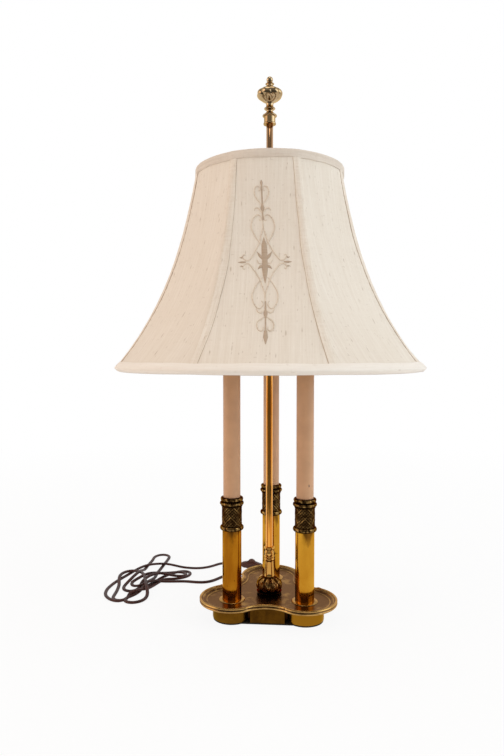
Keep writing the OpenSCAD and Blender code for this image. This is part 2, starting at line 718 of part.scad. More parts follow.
// One half of the switch body, on the side where side is 1 (back) or -1 (front)
module switch_half(side) {
    end_r = 2;
    mid = side * switch_t / 4;
    color("saddlebrown") at_switch() difference() {
        translate([0, mid, 0]) rotate([90, 0, 0]) linear_extrude(switch_t / 2, center = true)
            polygon([[-switch_l / 2, 2.5], [-switch_l / 2 + 3, 0], [switch_l / 2 - 3, 0],
                [switch_l / 2, 2.5], [switch_l / 2, 9], [switch_l / 2 - 5, 10.5],
                [wheel_d / 2, switch_h], [-wheel_d / 2, switch_h], [-switch_l / 2 + 5, 10.5],
                [-switch_l / 2, 9]]);
        translate([0, 0, wheel_z]) rotate([90, 0, 0])
            cylinder(r = wheel_d / 2 + 0.6, h = wheel_t + 2 * slip, center = true);
        translate([0, 0, wheel_z]) rotate([90, 0, 0])
            cylinder(r = switch_axle_r + fit_gap, h = switch_t + 2, center = true);
        for (s = [-1, 1]) translate([s * switch_l / 2, 0, 6.2]) rotate([0, 90, 0])
            cylinder(r = cord_d / 2, h = 2 * end_r, center = true);
    }
}

module switch_front() { switch_half(-1); }
module switch_back() { switch_half(1); }

module switch_wheel() {
    teeth = 18;
    color("tan") at_switch() translate([0, 0, wheel_z]) rotate([90, 0, 0]) difference() {
        union() {
            cylinder(r = wheel_d / 2, h = wheel_t, center = true);
            cylinder(r = switch_axle_r, h = switch_t - 1, center = true);
        }
        for (k = [0:teeth - 1]) rotate(360 * k / teeth) translate([wheel_d / 2 + 0.3, 0, 0])
            cylinder(r = 0.8, h = wheel_t + 1, center = true, $fn = 16);
    }
}

// The plug lies flat, its blades towards -Y
module plug_body() {
    neck = plug_w * 0.42;
    color("sienna") translate([plug_at[0], plug_at[1], 0]) difference() {
        linear_extrude(plug_h) polygon([[-plug_w / 2, 0], [plug_w / 2, 0], [plug_w / 2, plug_l * 0.3],
            [plug_w / 2 - 2.5, plug_l * 0.5], [neck / 2 + 2, plug_l * 0.85], [neck / 2, plug_l],
            [-neck / 2, plug_l], [-neck / 2 - 2, plug_l * 0.85], [-plug_w / 2 + 2.5, plug_l * 0.5],
            [-plug_w / 2, plug_l * 0.3]]);
        for (s = [-1, 1]) translate([s * blade_gap / 2 - blade_t / 2, -1, plug_h / 2 - blade_w / 2])
            cube([blade_t, 6, blade_w]);
    }
}

module plug_blades() {
    color("gold") for (s = [-1, 1])
        translate([plug_at[0] + s * blade_gap / 2 - blade_t / 2, plug_at[1] - blade_l,
            plug_h / 2 - blade_w / 2]) cube([blade_t, blade_l + 5, blade_w]);
}

felt_pad();
base_plinth();
base_weight();
base_tray();
candle_seats();
cord_bushing();
wire_connector();
tie_pipe();
tie_nut();
saucer();
knop();
column();
rod();
candle_nuts();
candle_tube(0);  // candle_tube_left
candle_tube(1);  // candle_tube_right
candle_tube(2);  // candle_tube_rear
candle_collar(0);  // candle_collar_left
candle_collar(1);  // candle_collar_right
candle_collar(2);  // candle_collar_rear
candle_sleeve(0);  // candle_sleeve_left
candle_sleeve(1);  // candle_sleeve_right
candle_sleeve(2);  // candle_sleeve_rear
candle_pipe(0);  // candle_pipe_left
candle_pipe(1);  // candle_pipe_right
candle_pipe(2);  // candle_pipe_rear
lead_wires();
socket(0);  // socket_left
socket(1);  // socket_right
socket(2);  // socket_rear
bulb_cap(0);  // bulb_cap_left
bulb_cap(1);  // bulb_cap_right
bulb_cap(2);  // bulb_cap_rear
bulb_glass(0);  // bulb_glass_left
bulb_glass(1);  // bulb_glass_right
bulb_glass(2);  // bulb_glass_rear
finial_cap();
finial();
shade_slider();
thumb_screw();
shade_spider();
shade_wires();
shade_panels();
shade_top_trim();
shade_bottom_trim();
cord();
cord_hank();
switch_front();
switch_back();
switch_wheel();
plug_body();
plug_blades();
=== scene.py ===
import math

import bmesh
import bpy
import numpy as np
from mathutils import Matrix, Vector


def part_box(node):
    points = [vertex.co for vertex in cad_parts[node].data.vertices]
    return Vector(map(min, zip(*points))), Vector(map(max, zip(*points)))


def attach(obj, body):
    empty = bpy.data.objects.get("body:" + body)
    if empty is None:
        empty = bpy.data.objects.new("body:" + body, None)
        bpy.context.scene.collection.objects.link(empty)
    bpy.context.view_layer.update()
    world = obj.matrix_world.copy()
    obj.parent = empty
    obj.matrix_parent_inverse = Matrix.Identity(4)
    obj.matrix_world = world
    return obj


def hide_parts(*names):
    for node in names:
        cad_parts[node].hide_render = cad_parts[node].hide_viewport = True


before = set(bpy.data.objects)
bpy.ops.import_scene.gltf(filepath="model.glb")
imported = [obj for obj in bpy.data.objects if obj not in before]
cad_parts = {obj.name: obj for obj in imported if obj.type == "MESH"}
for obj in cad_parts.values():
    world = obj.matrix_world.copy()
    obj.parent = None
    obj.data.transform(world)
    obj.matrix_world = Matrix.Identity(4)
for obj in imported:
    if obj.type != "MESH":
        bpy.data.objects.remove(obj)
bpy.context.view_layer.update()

MM = 0.001


def cosd(degrees):
    return math.cos(math.radians(degrees))


def sind(degrees):
    return math.sin(math.radians(degrees))


def box_mm(node):
    lo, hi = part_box(node)
    return [c / MM for c in lo], [c / MM for c in hi]


# ---- camera ----

PHOTO_H = 756
FOCAL_PX = 608.9
SENSOR = 36
CAMERA_AWAY = 812          # from the rod's axis
CAMERA_SIDE = 2.83         # degrees to the right of the lamp's front
CAMERA_YAW = 4.47          # degrees to the left of +Y
CAMERA_PITCH = 2.23        # degrees below the horizon
CAMERA_Z = 345


def make_camera():
    data = bpy.data.cameras.new("photo_camera")
    data.sensor_fit = "VERTICAL"
    data.sensor_height = SENSOR
    data.lens = FOCAL_PX / PHOTO_H * SENSOR
    data.clip_start = 0.01
    cam = bpy.data.objects.new("photo_camera", data)
    bpy.context.scene.collection.objects.link(cam)
    side = math.radians(CAMERA_SIDE)
    cam.location = (CAMERA_AWAY * math.sin(side) * MM, -CAMERA_AWAY * math.cos(side) * MM, CAMERA_Z * MM)
    cam.rotation_euler = (math.radians(90 - CAMERA_PITCH), 0, math.radians(CAMERA_YAW))
    bpy.context.scene.camera = cam


make_camera()

# ---- mesh helpers, in millimetres ----


def edit(mesh, *changes):
    """Makes changes to a mesh, each a function of its bmesh."""
    bm = bmesh.new()
    bm.from_mesh(mesh)
    for change in changes:
        change(bm)
    bm.to_mesh(mesh)
    bm.free()


def face_out(bm):
    bmesh.ops.recalc_face_normals(bm, faces=bm.faces)


def add_mesh(name, verts, faces, material):
    mesh = bpy.data.meshes.new(name)
    mesh.from_pydata([[c * MM for c in v] for v in verts], [], faces)
    mesh.validate()
    obj = bpy.data.objects.new(name, mesh)
    bpy.context.scene.collection.objects.link(obj)
    edit(mesh, face_out)
    mesh.polygons.foreach_set("use_smooth", [True] * len(mesh.polygons))
    mesh.materials.append(material)
    return obj


def sharpen(obj, degrees=35):
    """Marks the edges that turn by more than this as sharp, so that smooth shading stops there."""
    def mark(bm):
        for e in bm.edges:
            if len(e.link_faces) == 2 and e.calc_face_angle(0) > math.radians(degrees):
                e.smooth = False
    edit(obj.data, mark)
    return obj


def put_uv(obj, coords):
    """Writes one UV per vertex, in millimetres, so that patterns keep their real size."""
    layer = obj.data.uv_layers.new(name="UVMap")
    loops = np.zeros(len(obj.data.loops), int)
    obj.data.loops.foreach_get("vertex_index", loops)
    layer.data.foreach_set("uv", np.asarray(coords, float)[loops].ravel())


def put_wear_and_light(obj, values):
    """Writes how far each vertex is brightened, from 0 to 1, for the antique finish: rubbed wear, and on the plinth
    painted light and shade.
    """
    layer = obj.data.attributes.new("wear_and_light", "FLOAT", "POINT")
    layer.data.foreach_set("value", np.asarray(values, float))


def loft(name, rings, material, closed=True, ends=True, wear_and_light=None):
    """A skin over rows of points; each row has as many points, and closed rows join up."""
    n = len(rings[0])
    verts = [p for ring in rings for p in ring]
    faces = []
    for i in range(len(rings) - 1):
        for j in range(n if closed else n - 1):
            k = (j + 1) % n
            faces.append((i * n + j, i * n + k, (i + 1) * n + k, (i + 1) * n + j))
    if ends:
        faces.append(tuple(range(n - 1, -1, -1)))
        faces.append(tuple(range((len(rings) - 1) * n, len(rings) * n)))
    obj = add_mesh(name, verts, faces, material)
    if wear_and_light:
        put_wear_and_light(obj, [value for row in wear_and_light for value in row])
    return obj


def lathe(name, profile, material, centre=(0, 0), steps=96, relief=None, closed=False, rubbed=None):
    """A turned form from (radius, height) points; relief(angle, share, r, z) adds to the radius."""
    rings = []
    wear_and_light = [[rubbed(2 * math.pi * j / steps, r, z) for j in range(steps)] for r, z in profile] if rubbed else None
    last = max(1, len(profile) - 1)
    for k, (r, z) in enumerate(profile):
        ring = []
        for j in range(steps):
            a = 2 * math.pi * j / steps
            rr = r + (relief(a, k / last, r, z) if relief else 0)
            ring.append((centre[0] + rr * math.cos(a), centre[1] + rr * math.sin(a), z))
        rings.append(ring)
    if closed:
        rings.append(rings[0])
        wear_and_light = wear_and_light and wear_and_light + [wear_and_light[0]]
    obj = loft(name, rings, material, ends=not closed, wear_and_light=wear_and_light)
    edit(obj.data, lambda bm: bmesh.ops.remove_doubles(bm, verts=bm.verts, dist=1e-7), face_out)
    return obj


def arc(cx, cz, r, a0, a1, n=8, rz=None):
    """Points on an arc in the (radius, height) plane, from angle a0 to a1 in degrees."""
    rz = r if rz is None else rz
    return [(cx + r * cosd(a0 + (a1 - a0) * k / n),
             cz + rz * sind(a0 + (a1 - a0) * k / n)) for k in range(n + 1)]


def smooth_path(points, step):
    """A Catmull-Rom curve through points, with a point about every step."""
    pts = [np.array(p, float) for p in points]
    pts = [2 * pts[0] - pts[1]] + pts + [2 * pts[-1] - pts[-2]]
    out = []
    for i in range(1, len(pts) - 2):
        a, b, c, d = pts[i - 1:i + 3]
        n = max(1, int(round(np.linalg.norm(c - b) / step)))
        for k in range(n):
            t = k / n
            out.append(0.5 * (2 * b + (c - a) * t + (2 * a - 5 * b + 4 * c - d) * t ** 2
                              + (3 * b - a - 3 * c + d) * t ** 3))
    out.append(pts[-2])
    return np.array(out)


# ---- materials ----


class Nodes:
    """A material's node tree with short calls."""

    def __init__(self, name):
        self.mat = bpy.data.materials.new(name)
        self.mat.use_nodes = True
        self.tree = self.mat.node_tree
        self.shader = self.tree.nodes["Principled BSDF"]

    def node(self, kind, **values):
        n = self.tree.nodes.new(kind)
        for key, value in values.items():
            if hasattr(n, key):
                setattr(n, key, value)
            else:
                n.inputs[key.replace("_", " ")].default_value = value
        return n

    def link(self, a, b):
        self.tree.links.new(a, b)

    def coords(self, kind="Object", scale=(1, 1, 1)):
        texco = self.node("ShaderNodeTexCoord")
        mapping = self.node("ShaderNodeMapping", Scale=scale)
        self.link(texco.outputs[kind], mapping.inputs["Vector"])
        return mapping.outputs["Vector"]

    def noise(self, vector, scale, detail=3, rough=0.5, distortion=0):
        n = self.node("ShaderNodeTexNoise", Scale=scale, Detail=detail, Roughness=rough, Distortion=distortion)
        self.link(vector, n.inputs["Vector"])
        return n.outputs["Fac"]

    def levels(self, fac, low, high, to_low=0.0, to_high=1.0):
        n = self.node("ShaderNodeMapRange", From_Min=low, From_Max=high, To_Min=to_low, To_Max=to_high)
        self.link(fac, n.inputs["Value"])
        return n.outputs["Result"]

    def mix(self, fac, a, b, blend="MIX"):
        n = self.node("ShaderNodeMix", data_type="RGBA", blend_type=blend)
        self.feed(fac, n.inputs["Factor"])
        self.feed(a, n.inputs[6])
        self.feed(b, n.inputs[7])
        return n.outputs[2]

    def math(self, operation, a, b=0.0):
        n = self.node("ShaderNodeMath", operation=operation)
        self.feed(a, n.inputs[0])
        self.feed(b, n.inputs[1])
        return n.outputs[0]

    def feed(self, value, socket):
        if isinstance(value, bpy.types.NodeSocket):
            self.link(value, socket)
        elif isinstance(value, tuple):
            socket.default_value = (*value, 1) if len(value) == 3 else value
        else:
            socket.default_value = value

    def bump(self, height, strength, distance):
        n = self.node("ShaderNodeBump", Strength=strength, Distance=distance)
        self.link(height, n.inputs["Height"])
        return n.outputs["Normal"]

    def set(self, **values):
        names = {"color": "Base Color", "metal": "Metallic", "rough": "Roughness", "normal": "Normal",
                 "sheen": "Sheen Weight", "sheen_rough": "Sheen Roughness", "ior": "IOR",
                 "through": "Transmission Weight", "specular": "Specular IOR Level"}
        for key, value in values.items():
            self.feed(value, self.shader.inputs[names[key]])
        return self.mat


def brass(name, bright, deep, rough=(0.07, 0.16), patches=30, spots=0.72, bump=0.012, height_tone=None, rim=(1, 0.8, 0.5)):
    """Lacquered brass with toning that runs down it, fine strokes and a few dark spots.

    Its height band is (from, to, colour): the heights in metres over which another tone sets in, with a ragged edge:
    painted shade under the collars on the tubes, a paler tone above the shade on the rod."""
    m = Nodes(name)
    where = m.coords()
    clouds = m.noise(m.coords(scale=(1, 1, 0.4)), patches, detail=6, rough=0.62, distortion=0.6)
    tone = m.mix(m.levels(clouds, 0.34, 0.66), bright, deep)
    fine = m.noise(where, 260, detail=4, rough=0.6)
    dots = m.levels(m.noise(where, 170, detail=2), spots, spots + 0.04)
    dark = tuple(c * 0.3 for c in deep)
    tone = m.mix(m.math("MULTIPLY", dots, 0.8), tone, dark)
    # another tone by height: painted shade under the collars on the tubes, a paler tone on the rod above the shade
    if height_tone:
        axes = m.node("ShaderNodeSeparateXYZ")
        m.link(where, axes.inputs[0])
        ragged = m.levels(m.noise(m.coords(scale=(1, 1, 0.35)), 140, detail=3), 0.35, 0.65, -0.011, 0.011)
        tone = m.mix(m.levels(m.math("ADD", axes.outputs["Z"], ragged), *height_tone[:2], 0, 0.8), tone, height_tone[2])
    strokes = m.noise(m.coords(scale=(1, 1, 0.05)), 900, detail=2)
    normal = m.bump(strokes, bump, 0.0002)
    m.shader.inputs["Specular Tint"].default_value = (*rim, 1)
    return m.set(color=tone, metal=1.0, rough=m.levels(fine, 0.3, 0.7, *rough), normal=normal)


def antique(name, bright, dark, patches=60, breaks=0.5, rough=(0.34, 0.2), grain=0.2, rim=(0.6, 0.4, 0.2)):
    """Cast brass whose hollows hold dark patina while its rubbed edges are bright, from a mesh attribute of wear,
    which on the plinth holds painted light and shade.
    """
    m = Nodes(name)
    where = m.coords()
    # brightness from the mesh: rubbed wear, and on the plinth painted light and shade
    worn_and_lit = m.node("ShaderNodeAttribute", attribute_name="wear_and_light").outputs["Fac"]
    clouds = m.noise(where, patches, detail=6, rough=0.68)
    patchy = m.math("MULTIPLY", m.levels(clouds, 0.3, 0.7, -1, 1), breaks)
    mask = m.levels(m.math("ADD", worn_and_lit, patchy), 0.15, 0.85)
    tone = m.mix(mask, dark, bright)
    normal = m.bump(m.noise(where, 700, detail=4), grain, 0.0002)
    m.shader.inputs["Specular Tint"].default_value = (*rim, 1)
    return m.set(color=tone, metal=1.0, rough=m.levels(mask, 0, 1, *rough), normal=normal)


def plastic(name, colour, rough=0.4, grain=0.1, metal=0.0, vary=0.12, gloss=0.5, chip=None):
    """A plain finish with a little variety; chip is the place, in metres, of a small dark chip."""
    m = Nodes(name)
    where = m.coords()
    cloud = m.noise(where, 70, detail=3)
    low, high = tuple(c * (1 - vary) for c in colour), tuple(min(1, c * (1 + vary)) for c in colour)
    tone = m.mix(m.levels(cloud, 0.3, 0.7), low, high)
    if chip:
        away = m.node("ShaderNodeVectorMath", operation="DISTANCE")
        m.link(m.coords(scale=(1, 1, 0.42)), away.inputs[0])
        away.inputs[1].default_value = (chip[0], chip[1], 0.42 * chip[2])
        edge = m.levels(m.noise(where, 900, detail=2), 0.3, 0.7, -0.0004, 0.0004)
        ragged = m.math("ADD", away.outputs["Value"], edge)
        tone = m.mix(m.levels(ragged, 0.0006, 0.0009, 1, 0), tone, (0.05, 0.04, 0.035))
    normal = m.bump(m.noise(where, 1500, detail=2), grain, 0.0001)
    return m.set(color=tone, rough=rough, metal=metal, specular=gloss, normal=normal)


def cloth(name, light, shade, slub, weave=1.0, slubs=0.5, streak=1.0, edge=None):
    """Slubbed silk. UVs are in millimetres: u across a panel and v down it, along the warp.

    edge is (from, colour): where u passes from, the cloth takes that colour: a painted shadow line along the edge of a
    tape, and under the hem's turned edge."""
    m = Nodes(name)
    flat = m.coords("UV")
    streaks = m.noise(m.coords("UV", scale=(1, 0.025, 1)), 0.42, detail=5, rough=0.75)
    cross = m.noise(m.coords("UV", scale=(0.04, 1, 1)), 0.4, detail=4, rough=0.7)
    cloud = m.noise(flat, 0.02, detail=3)
    mottle = m.noise(m.coords("UV", scale=(1, 0.5, 1)), 0.22, detail=5, rough=0.75)
    tone = m.mix(m.levels(streaks, 0.36, 0.64), shade, light)
    tone = m.mix(m.math("MULTIPLY", m.levels(cross, 0.42, 0.7), 0.35 * streak), tone, light)
    tone = m.mix(m.math("MULTIPLY", m.levels(mottle, 0.5, 0.72), 0.45 * streak), tone, shade)
    tone = m.mix(m.math("MULTIPLY", m.levels(cloud, 0.3, 0.7), 0.3), tone, shade)
    marks = None
    for scale, near, far, share in (((0.085, 0.02, 1), 0.035, 0.075, 1.0), ((0.14, 0.055, 1), 0.05, 0.085, 0.6),
                                    ((0.02, 0.09, 1), 0.02, 0.05, 0.5)):
        cells = m.node("ShaderNodeTexVoronoi", voronoi_dimensions="2D", Scale=1)
        m.link(m.coords("UV", scale=scale), cells.inputs["Vector"])
        mark = m.levels(cells.outputs["Distance"], near, far, share, 0)
        marks = mark if marks is None else m.math("MAXIMUM", marks, mark)
    marks = m.math("MULTIPLY", marks, m.levels(m.noise(flat, 0.09, detail=2), 0.42, 0.62))
    tone = m.mix(m.math("MULTIPLY", marks, slubs), tone, slub)
    # a painted shadow line along one edge
    if edge:
        axes = m.node("ShaderNodeSeparateXYZ")
        m.link(flat, axes.inputs[0])
        tone = m.mix(m.levels(axes.outputs["X"], edge[0], edge[0] + 0.35, 0, 0.85), tone, edge[1])
    threads_v = m.noise(m.coords("UV", scale=(3.2, 0.12, 1)), 1.0, detail=2)
    threads_h = m.noise(m.coords("UV", scale=(0.12, 3.2, 1)), 1.0, detail=2)
    height = m.math("ADD", m.math("ADD", threads_v, threads_h), m.math("MULTIPLY", marks, 1.5))
    normal = m.bump(height, 0.35 * weave, 0.0004)
    m.set(sheen=0.12, sheen_rough=0.5)
    return m.set(color=tone, rough=0.78, specular=0.25, normal=normal)


MAT = {}
TUBE_COLLAR_SHADE = (0.106, 0.122, (0.10, 0.035, 0.006))     # painted shade on the tubes just under the collars
ROD_TOP_TONE = (0.56, 0.60, (0.50, 0.30, 0.17))          # a paler, greyer tone on the rod above the shade


def make_materials():
    MAT["silk"] = cloth("slubbed_silk", (0.87, 0.79, 0.69), (0.78, 0.685, 0.575), (0.42, 0.30, 0.20), slubs=0.6)
    MAT["trim"] = cloth("trim_silk", (0.80, 0.71, 0.615), (0.66, 0.56, 0.46), (0.5, 0.36, 0.26), slubs=0.3, streak=1.6)
    # the tape's dark edge line is painted shadow, on the edge towards the front panel
    MAT["tape"] = cloth("tape_silk", (0.88, 0.80, 0.70), (0.74, 0.63, 0.51), (0.45, 0.31, 0.2), slubs=0.5, streak=2.2,
                        edge=(4.55, (0.42, 0.26, 0.15)))
    # the hem's brown turned-under edge is a painted shadow line
    MAT["hem"] = cloth("hem_silk", (0.93, 0.87, 0.79), (0.87, 0.79, 0.70), (0.5, 0.36, 0.26), slubs=0.25,
                       edge=(14.6, (0.36, 0.24, 0.15)))
    MAT["lining"] = cloth("lining_cloth", (0.82, 0.75, 0.66), (0.76, 0.68, 0.58), (0.6, 0.5, 0.4), slubs=0.1)
    MAT["thread"] = cloth("satin_thread", (0.82, 0.71, 0.59), (0.66, 0.54, 0.42), (0.36, 0.25, 0.17), weave=1.5,
                          slubs=0.3)
    MAT["leaf_thread"] = cloth("leaf_thread", (0.56, 0.43, 0.32), (0.45, 0.33, 0.235), (0.36, 0.25, 0.17), weave=1.5,
                               slubs=0.3)
    MAT["tube"] = brass("tube_brass", (0.66, 0.34, 0.035), (0.47, 0.20, 0.014), height_tone=TUBE_COLLAR_SHADE)
    # a darker copy of the tube brass: painted shade for the left tube, which faces away from the key light
    MAT["left_tube_shade"] = brass("painted_shade_tube_brass", (0.47, 0.19, 0.011), (0.28, 0.088, 0.004), height_tone=TUBE_COLLAR_SHADE)
    MAT["rod"] = brass("rod_brass", (0.86, 0.42, 0.09), (0.78, 0.28, 0.025), rough=(0.05, 0.12), patches=20,
                       rim=(1, 0.97, 0.9), height_tone=ROD_TOP_TONE)
    MAT["bright"] = brass("polished_brass", (0.68, 0.37, 0.095), (0.46, 0.22, 0.045), rough=(0.04, 0.1))
    MAT["finial"] = brass("finial_brass", (0.56, 0.42, 0.26), (0.32, 0.21, 0.10), rough=(0.06, 0.14), patches=60)
    MAT["plinth"] = antique("plinth_brass", (0.28, 0.12, 0.008), (0.03, 0.010, 0.002), patches=45, breaks=0.12,
                            rough=(0.42, 0.29), grain=0.1, rim=(1, 0.8, 0.5))
    MAT["tray"] = antique("tray_patina", (0.50, 0.29, 0.09), (0.12, 0.058, 0.024), patches=38, breaks=0.5,
                          rough=(0.27, 0.2), grain=0.06, rim=(0.9, 0.72, 0.6))
    MAT["antique"] = antique("antique_brass", (0.46, 0.27, 0.085), (0.03, 0.013, 0.004), patches=150, breaks=0.35)
    MAT["knop"] = antique("knop_brass", (0.72, 0.40, 0.13), (0.05, 0.016, 0.004), patches=170, breaks=0.3,
                          rough=(0.2, 0.1), grain=0.05)
    MAT["ivory"] = plastic("candle_ivory", (0.60, 0.335, 0.18), rough=0.42, vary=0.05)
    MAT["chipped"] = plastic("chipped_ivory", (0.60, 0.335, 0.18), rough=0.42, vary=0.05,
                             chip=(0.0527, -0.0373, 0.177))
    MAT["felt"] = plastic("brown_felt", (0.035, 0.025, 0.014), rough=0.95, grain=1.0, vary=0.3)
    MAT["iron"] = plastic("cast_iron", (0.10, 0.095, 0.09), rough=0.6, grain=0.8, metal=0.8, vary=0.25)
    MAT["steel"] = plastic("zinc_steel", (0.55, 0.55, 0.53), rough=0.32, metal=1.0)
    MAT["black"] = plastic("phenolic", (0.02, 0.018, 0.016), rough=0.35)
    MAT["rubber"] = plastic("bushing_rubber", (0.03, 0.022, 0.018), rough=0.6)
    MAT["cap"] = plastic("screw_shell", (0.72, 0.70, 0.66), rough=0.25, metal=1.0)
    MAT["connector"] = plastic("connector_shell", (0.62, 0.55, 0.42), rough=0.5)
    MAT["lead"] = plastic("lead_sleeve", (0.10, 0.09, 0.08), rough=0.5)
    MAT["wire"] = plastic("enamelled_wire", (0.70, 0.66, 0.58), rough=0.35)
    MAT["cord"] = plastic("cord_jacket", (0.05, 0.013, 0.008), rough=0.42, vary=0.35, gloss=0.25)
    MAT["switch"] = plastic("moulded_brown", (0.07, 0.02, 0.012), rough=0.35, vary=0.2, gloss=0.3)
    MAT["wheel"] = plastic("wheel_brown", (0.10, 0.035, 0.02), rough=0.4)
    MAT["blade"] = brass("blade_brass", (0.72, 0.52, 0.22), (0.5, 0.33, 0.1), patches=80)
    glass = Nodes("frosted_glass")
    where = glass.coords()
    frost = glass.noise(where, 400, detail=3)
    MAT["glass"] = glass.set(color=(0.93, 0.92, 0.89), rough=glass.levels(frost, 0.3, 0.7, 0.25, 0.45),
                             through=0.75, ior=1.45, normal=glass.bump(frost, 0.1, 0.0001))


make_materials()

NODE_MATERIAL = {node: key for key, nodes in {
    "felt": "felt_pad", "plinth": "base_plinth", "iron": "base_weight", "tray": "base_tray candle_seats",
    "rubber": "cord_bushing", "connector": "wire_connector", "steel": "tie_pipe tie_nut candle_nuts",
    "knop": "saucer knop", "bright": "column shade_slider thumb_screw shade_spider", "rod": "rod",
    "lead": "lead_wires", "finial": "finial_cap finial", "wire": "shade_wires", "silk": "shade_panels",
    "trim": "shade_top_trim shade_bottom_trim", "cord": "cord cord_hank",
    "switch": "switch_front switch_back plug_body", "wheel": "switch_wheel", "blade": "plug_blades"
}.items() for node in nodes.split()}
SIDES = ("left", "right", "rear")
for side in SIDES:
    NODE_MATERIAL.update({"candle_tube_" + side: "tube", "candle_collar_" + side: "antique",
                          "candle_sleeve_" + side: "ivory", "candle_pipe_" + side: "steel",
                          "socket_" + side: "black", "bulb_cap_" + side: "cap", "bulb_glass_" + side: "glass"})
for node, key in NODE_MATERIAL.items():
    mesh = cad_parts[node].data
    mesh.materials.clear()
    mesh.materials.append(MAT[key])


def put(obj, key, body, *nodes):
    """Rides a piece on its body in place of the CAD nodes named; its key argument is not used."""
    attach(obj, body)
    if nodes:
        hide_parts(*nodes)
    return obj


def turned(name, profile, key, body, nodes, centre=(0, 0), steps=96, relief=None, closed=False, rubbed=None):
    obj = lathe(name, profile, MAT[key], centre, steps, relief, closed=closed, rubbed=rubbed)
    return put(sharpen(obj, 50), key, body, *nodes)


def polar(r, degrees):
    a = math.radians(degrees)
    return r * math.cos(a), r * math.sin(a)


def sweep(name, path, section, key, loop=False, roll=None):
    """A section of (across, up) points drawn along a path that is never vertical."""
    path = np.array(path, float)
    ahead = np.roll(path, -1, axis=0) - np.roll(path, 1, axis=0)
    if not loop:
        ahead[0], ahead[-1] = path[1] - path[0], path[-1] - path[-2]
    rings = []
    for i, (p, t) in enumerate(zip(path, ahead)):
        t = t / np.linalg.norm(t)
        side = np.cross(t, (0, 0, 1))
        side /= np.linalg.norm(side)
        up = np.cross(side, t)
        c, s = (math.cos(roll(i)), math.sin(roll(i))) if roll else (1, 0)
        rings.append([p + side * (a * c - b * s) + up * (a * s + b * c) for a, b in section])
    if loop:
        rings.append(rings[0])
    return loft(name, rings, MAT[key], ends=not loop)


def circle(r, n=12):
    return [(r * math.cos(2 * math.pi * k / n), r * math.sin(2 * math.pi * k / n)) for k in range(n)]


def wave(x, *terms):
    """A sum of sines, each (size, count, phase)."""
    return sum(size * math.sin(count * x + phase) for size, count, phase in terms)


# ---- cord ----

CORD_D = 5
STRAND_Z = 2.6                            # the middle of a strand that lies on the table, as in part.scad
CORD_LIES, PILE_SHARE = 1.7, 0.62         # a strand's height on the table, and how far those on it rise
SHEAR, DEEPER, BACK = 0.007, 1.032, 7.8   # lays the route as far back as the photo's camera sees it
STRAND_R, STRAND_APART = 1.6, 0.9
HANK_LOW, HANK_HIGH = np.array((-201.0, 10.0)), np.array((-173.0, 84.0))
HANK_ALONG = (HANK_HIGH - HANK_LOW) / np.linalg.norm(HANK_HIGH - HANK_LOW)
HANK_ACROSS = np.array((HANK_ALONG[1], -HANK_ALONG[0]))


def laid(*points):
    """Points of the route; one without a height lies flat."""
    return [(*p, STRAND_Z)[:3] for p in points]


def in_hank(*points):
    """Points given along and across the hank, and their height."""
    return [(*(HANK_LOW + HANK_ALONG * a + HANK_ACROSS * b), z) for a, b, z in laid(*points)]


def settle(points, start=0, end=0):
    """Lays a flat cord on the table, as far back as the photo's camera sees it, but for its pinned ends."""
    last = len(points) - end
    return [(x, y, z) if i < start or i >= last
            else (x - SHEAR * y, DEEPER * y + BACK, CORD_LIES + (z - CORD_D / 2 - 0.1) * PILE_SHARE)
            for i, (x, y, z) in enumerate(points)]


RUN_EXIT = laid((0, 86.8, 8), (0, 96, 7), (0, 107, 4.2), (1, 119, 1.8), (0, 131, 1.8), (-4, 142), (-11, 150, 5),
                (-19.5, 152.9, 6.2))
RUN_LONG = laid((-52.5, 161.1, 6.2), (-62, 164.6, 4.5), (-74, 160.5), (-88, 156), (-101, 142), (-116, 133.5),
                (-131, 132.5), (-147, 135, 3), (-162, 138, 6), (-176, 139, 8.4), (-190, 137, 8.4),
                (-203, 131, 8.2), (-214, 120, 5.5), (-222, 105), (-228, 88), (-234, 70), (-238, 52), (-239, 35),
                (-235, 18), (-226, 6), (-215, -1), (-205, 1.4))
LOOP_RIGHT = laid((-169, 90), (-160, 104), (-149.5, 114.5), (-140.5, 118.5), (-132, 115.5), (-128, 107),
                  (-131, 97), (-139, 89.5), (-152, 84.5), (-164, 83))
LOOP_RING = laid((-200, 14), (-203, 4), (-211.6, 0.4), (-220, 4.6), (-222.2, 15), (-222.8, 30), (-224.4, 43, 2.8),
                 (-226, 54, 3.5), (-230, 67, 6.5), (-233, 79, 8.4), (-233, 91, 8.4), (-228, 101, 8.4),
                 (-218, 105, 8.4), (-208, 100, 10), (-200, 89, 13), (-193, 75, 14), (-188, 60, 14), (-183, 45, 14),
                 (-178, 32, 10), (-174.6, 20, 4.5), (-175.4, 8.6), (-181, -0.6), (-190.6, -5), (-200.6, -1.6),
                 (-203.6, 8.4))
LOOP_BACK = laid((-180, 88), (-181, 104), (-180, 120), (-179, 137), (-178, 154), (-177.2, 171), (-178, 183.4),
                 (-187.6, 192), (-198.6, 188), (-203, 177), (-202, 165), (-203, 151), (-204, 134), (-204, 117, 4))
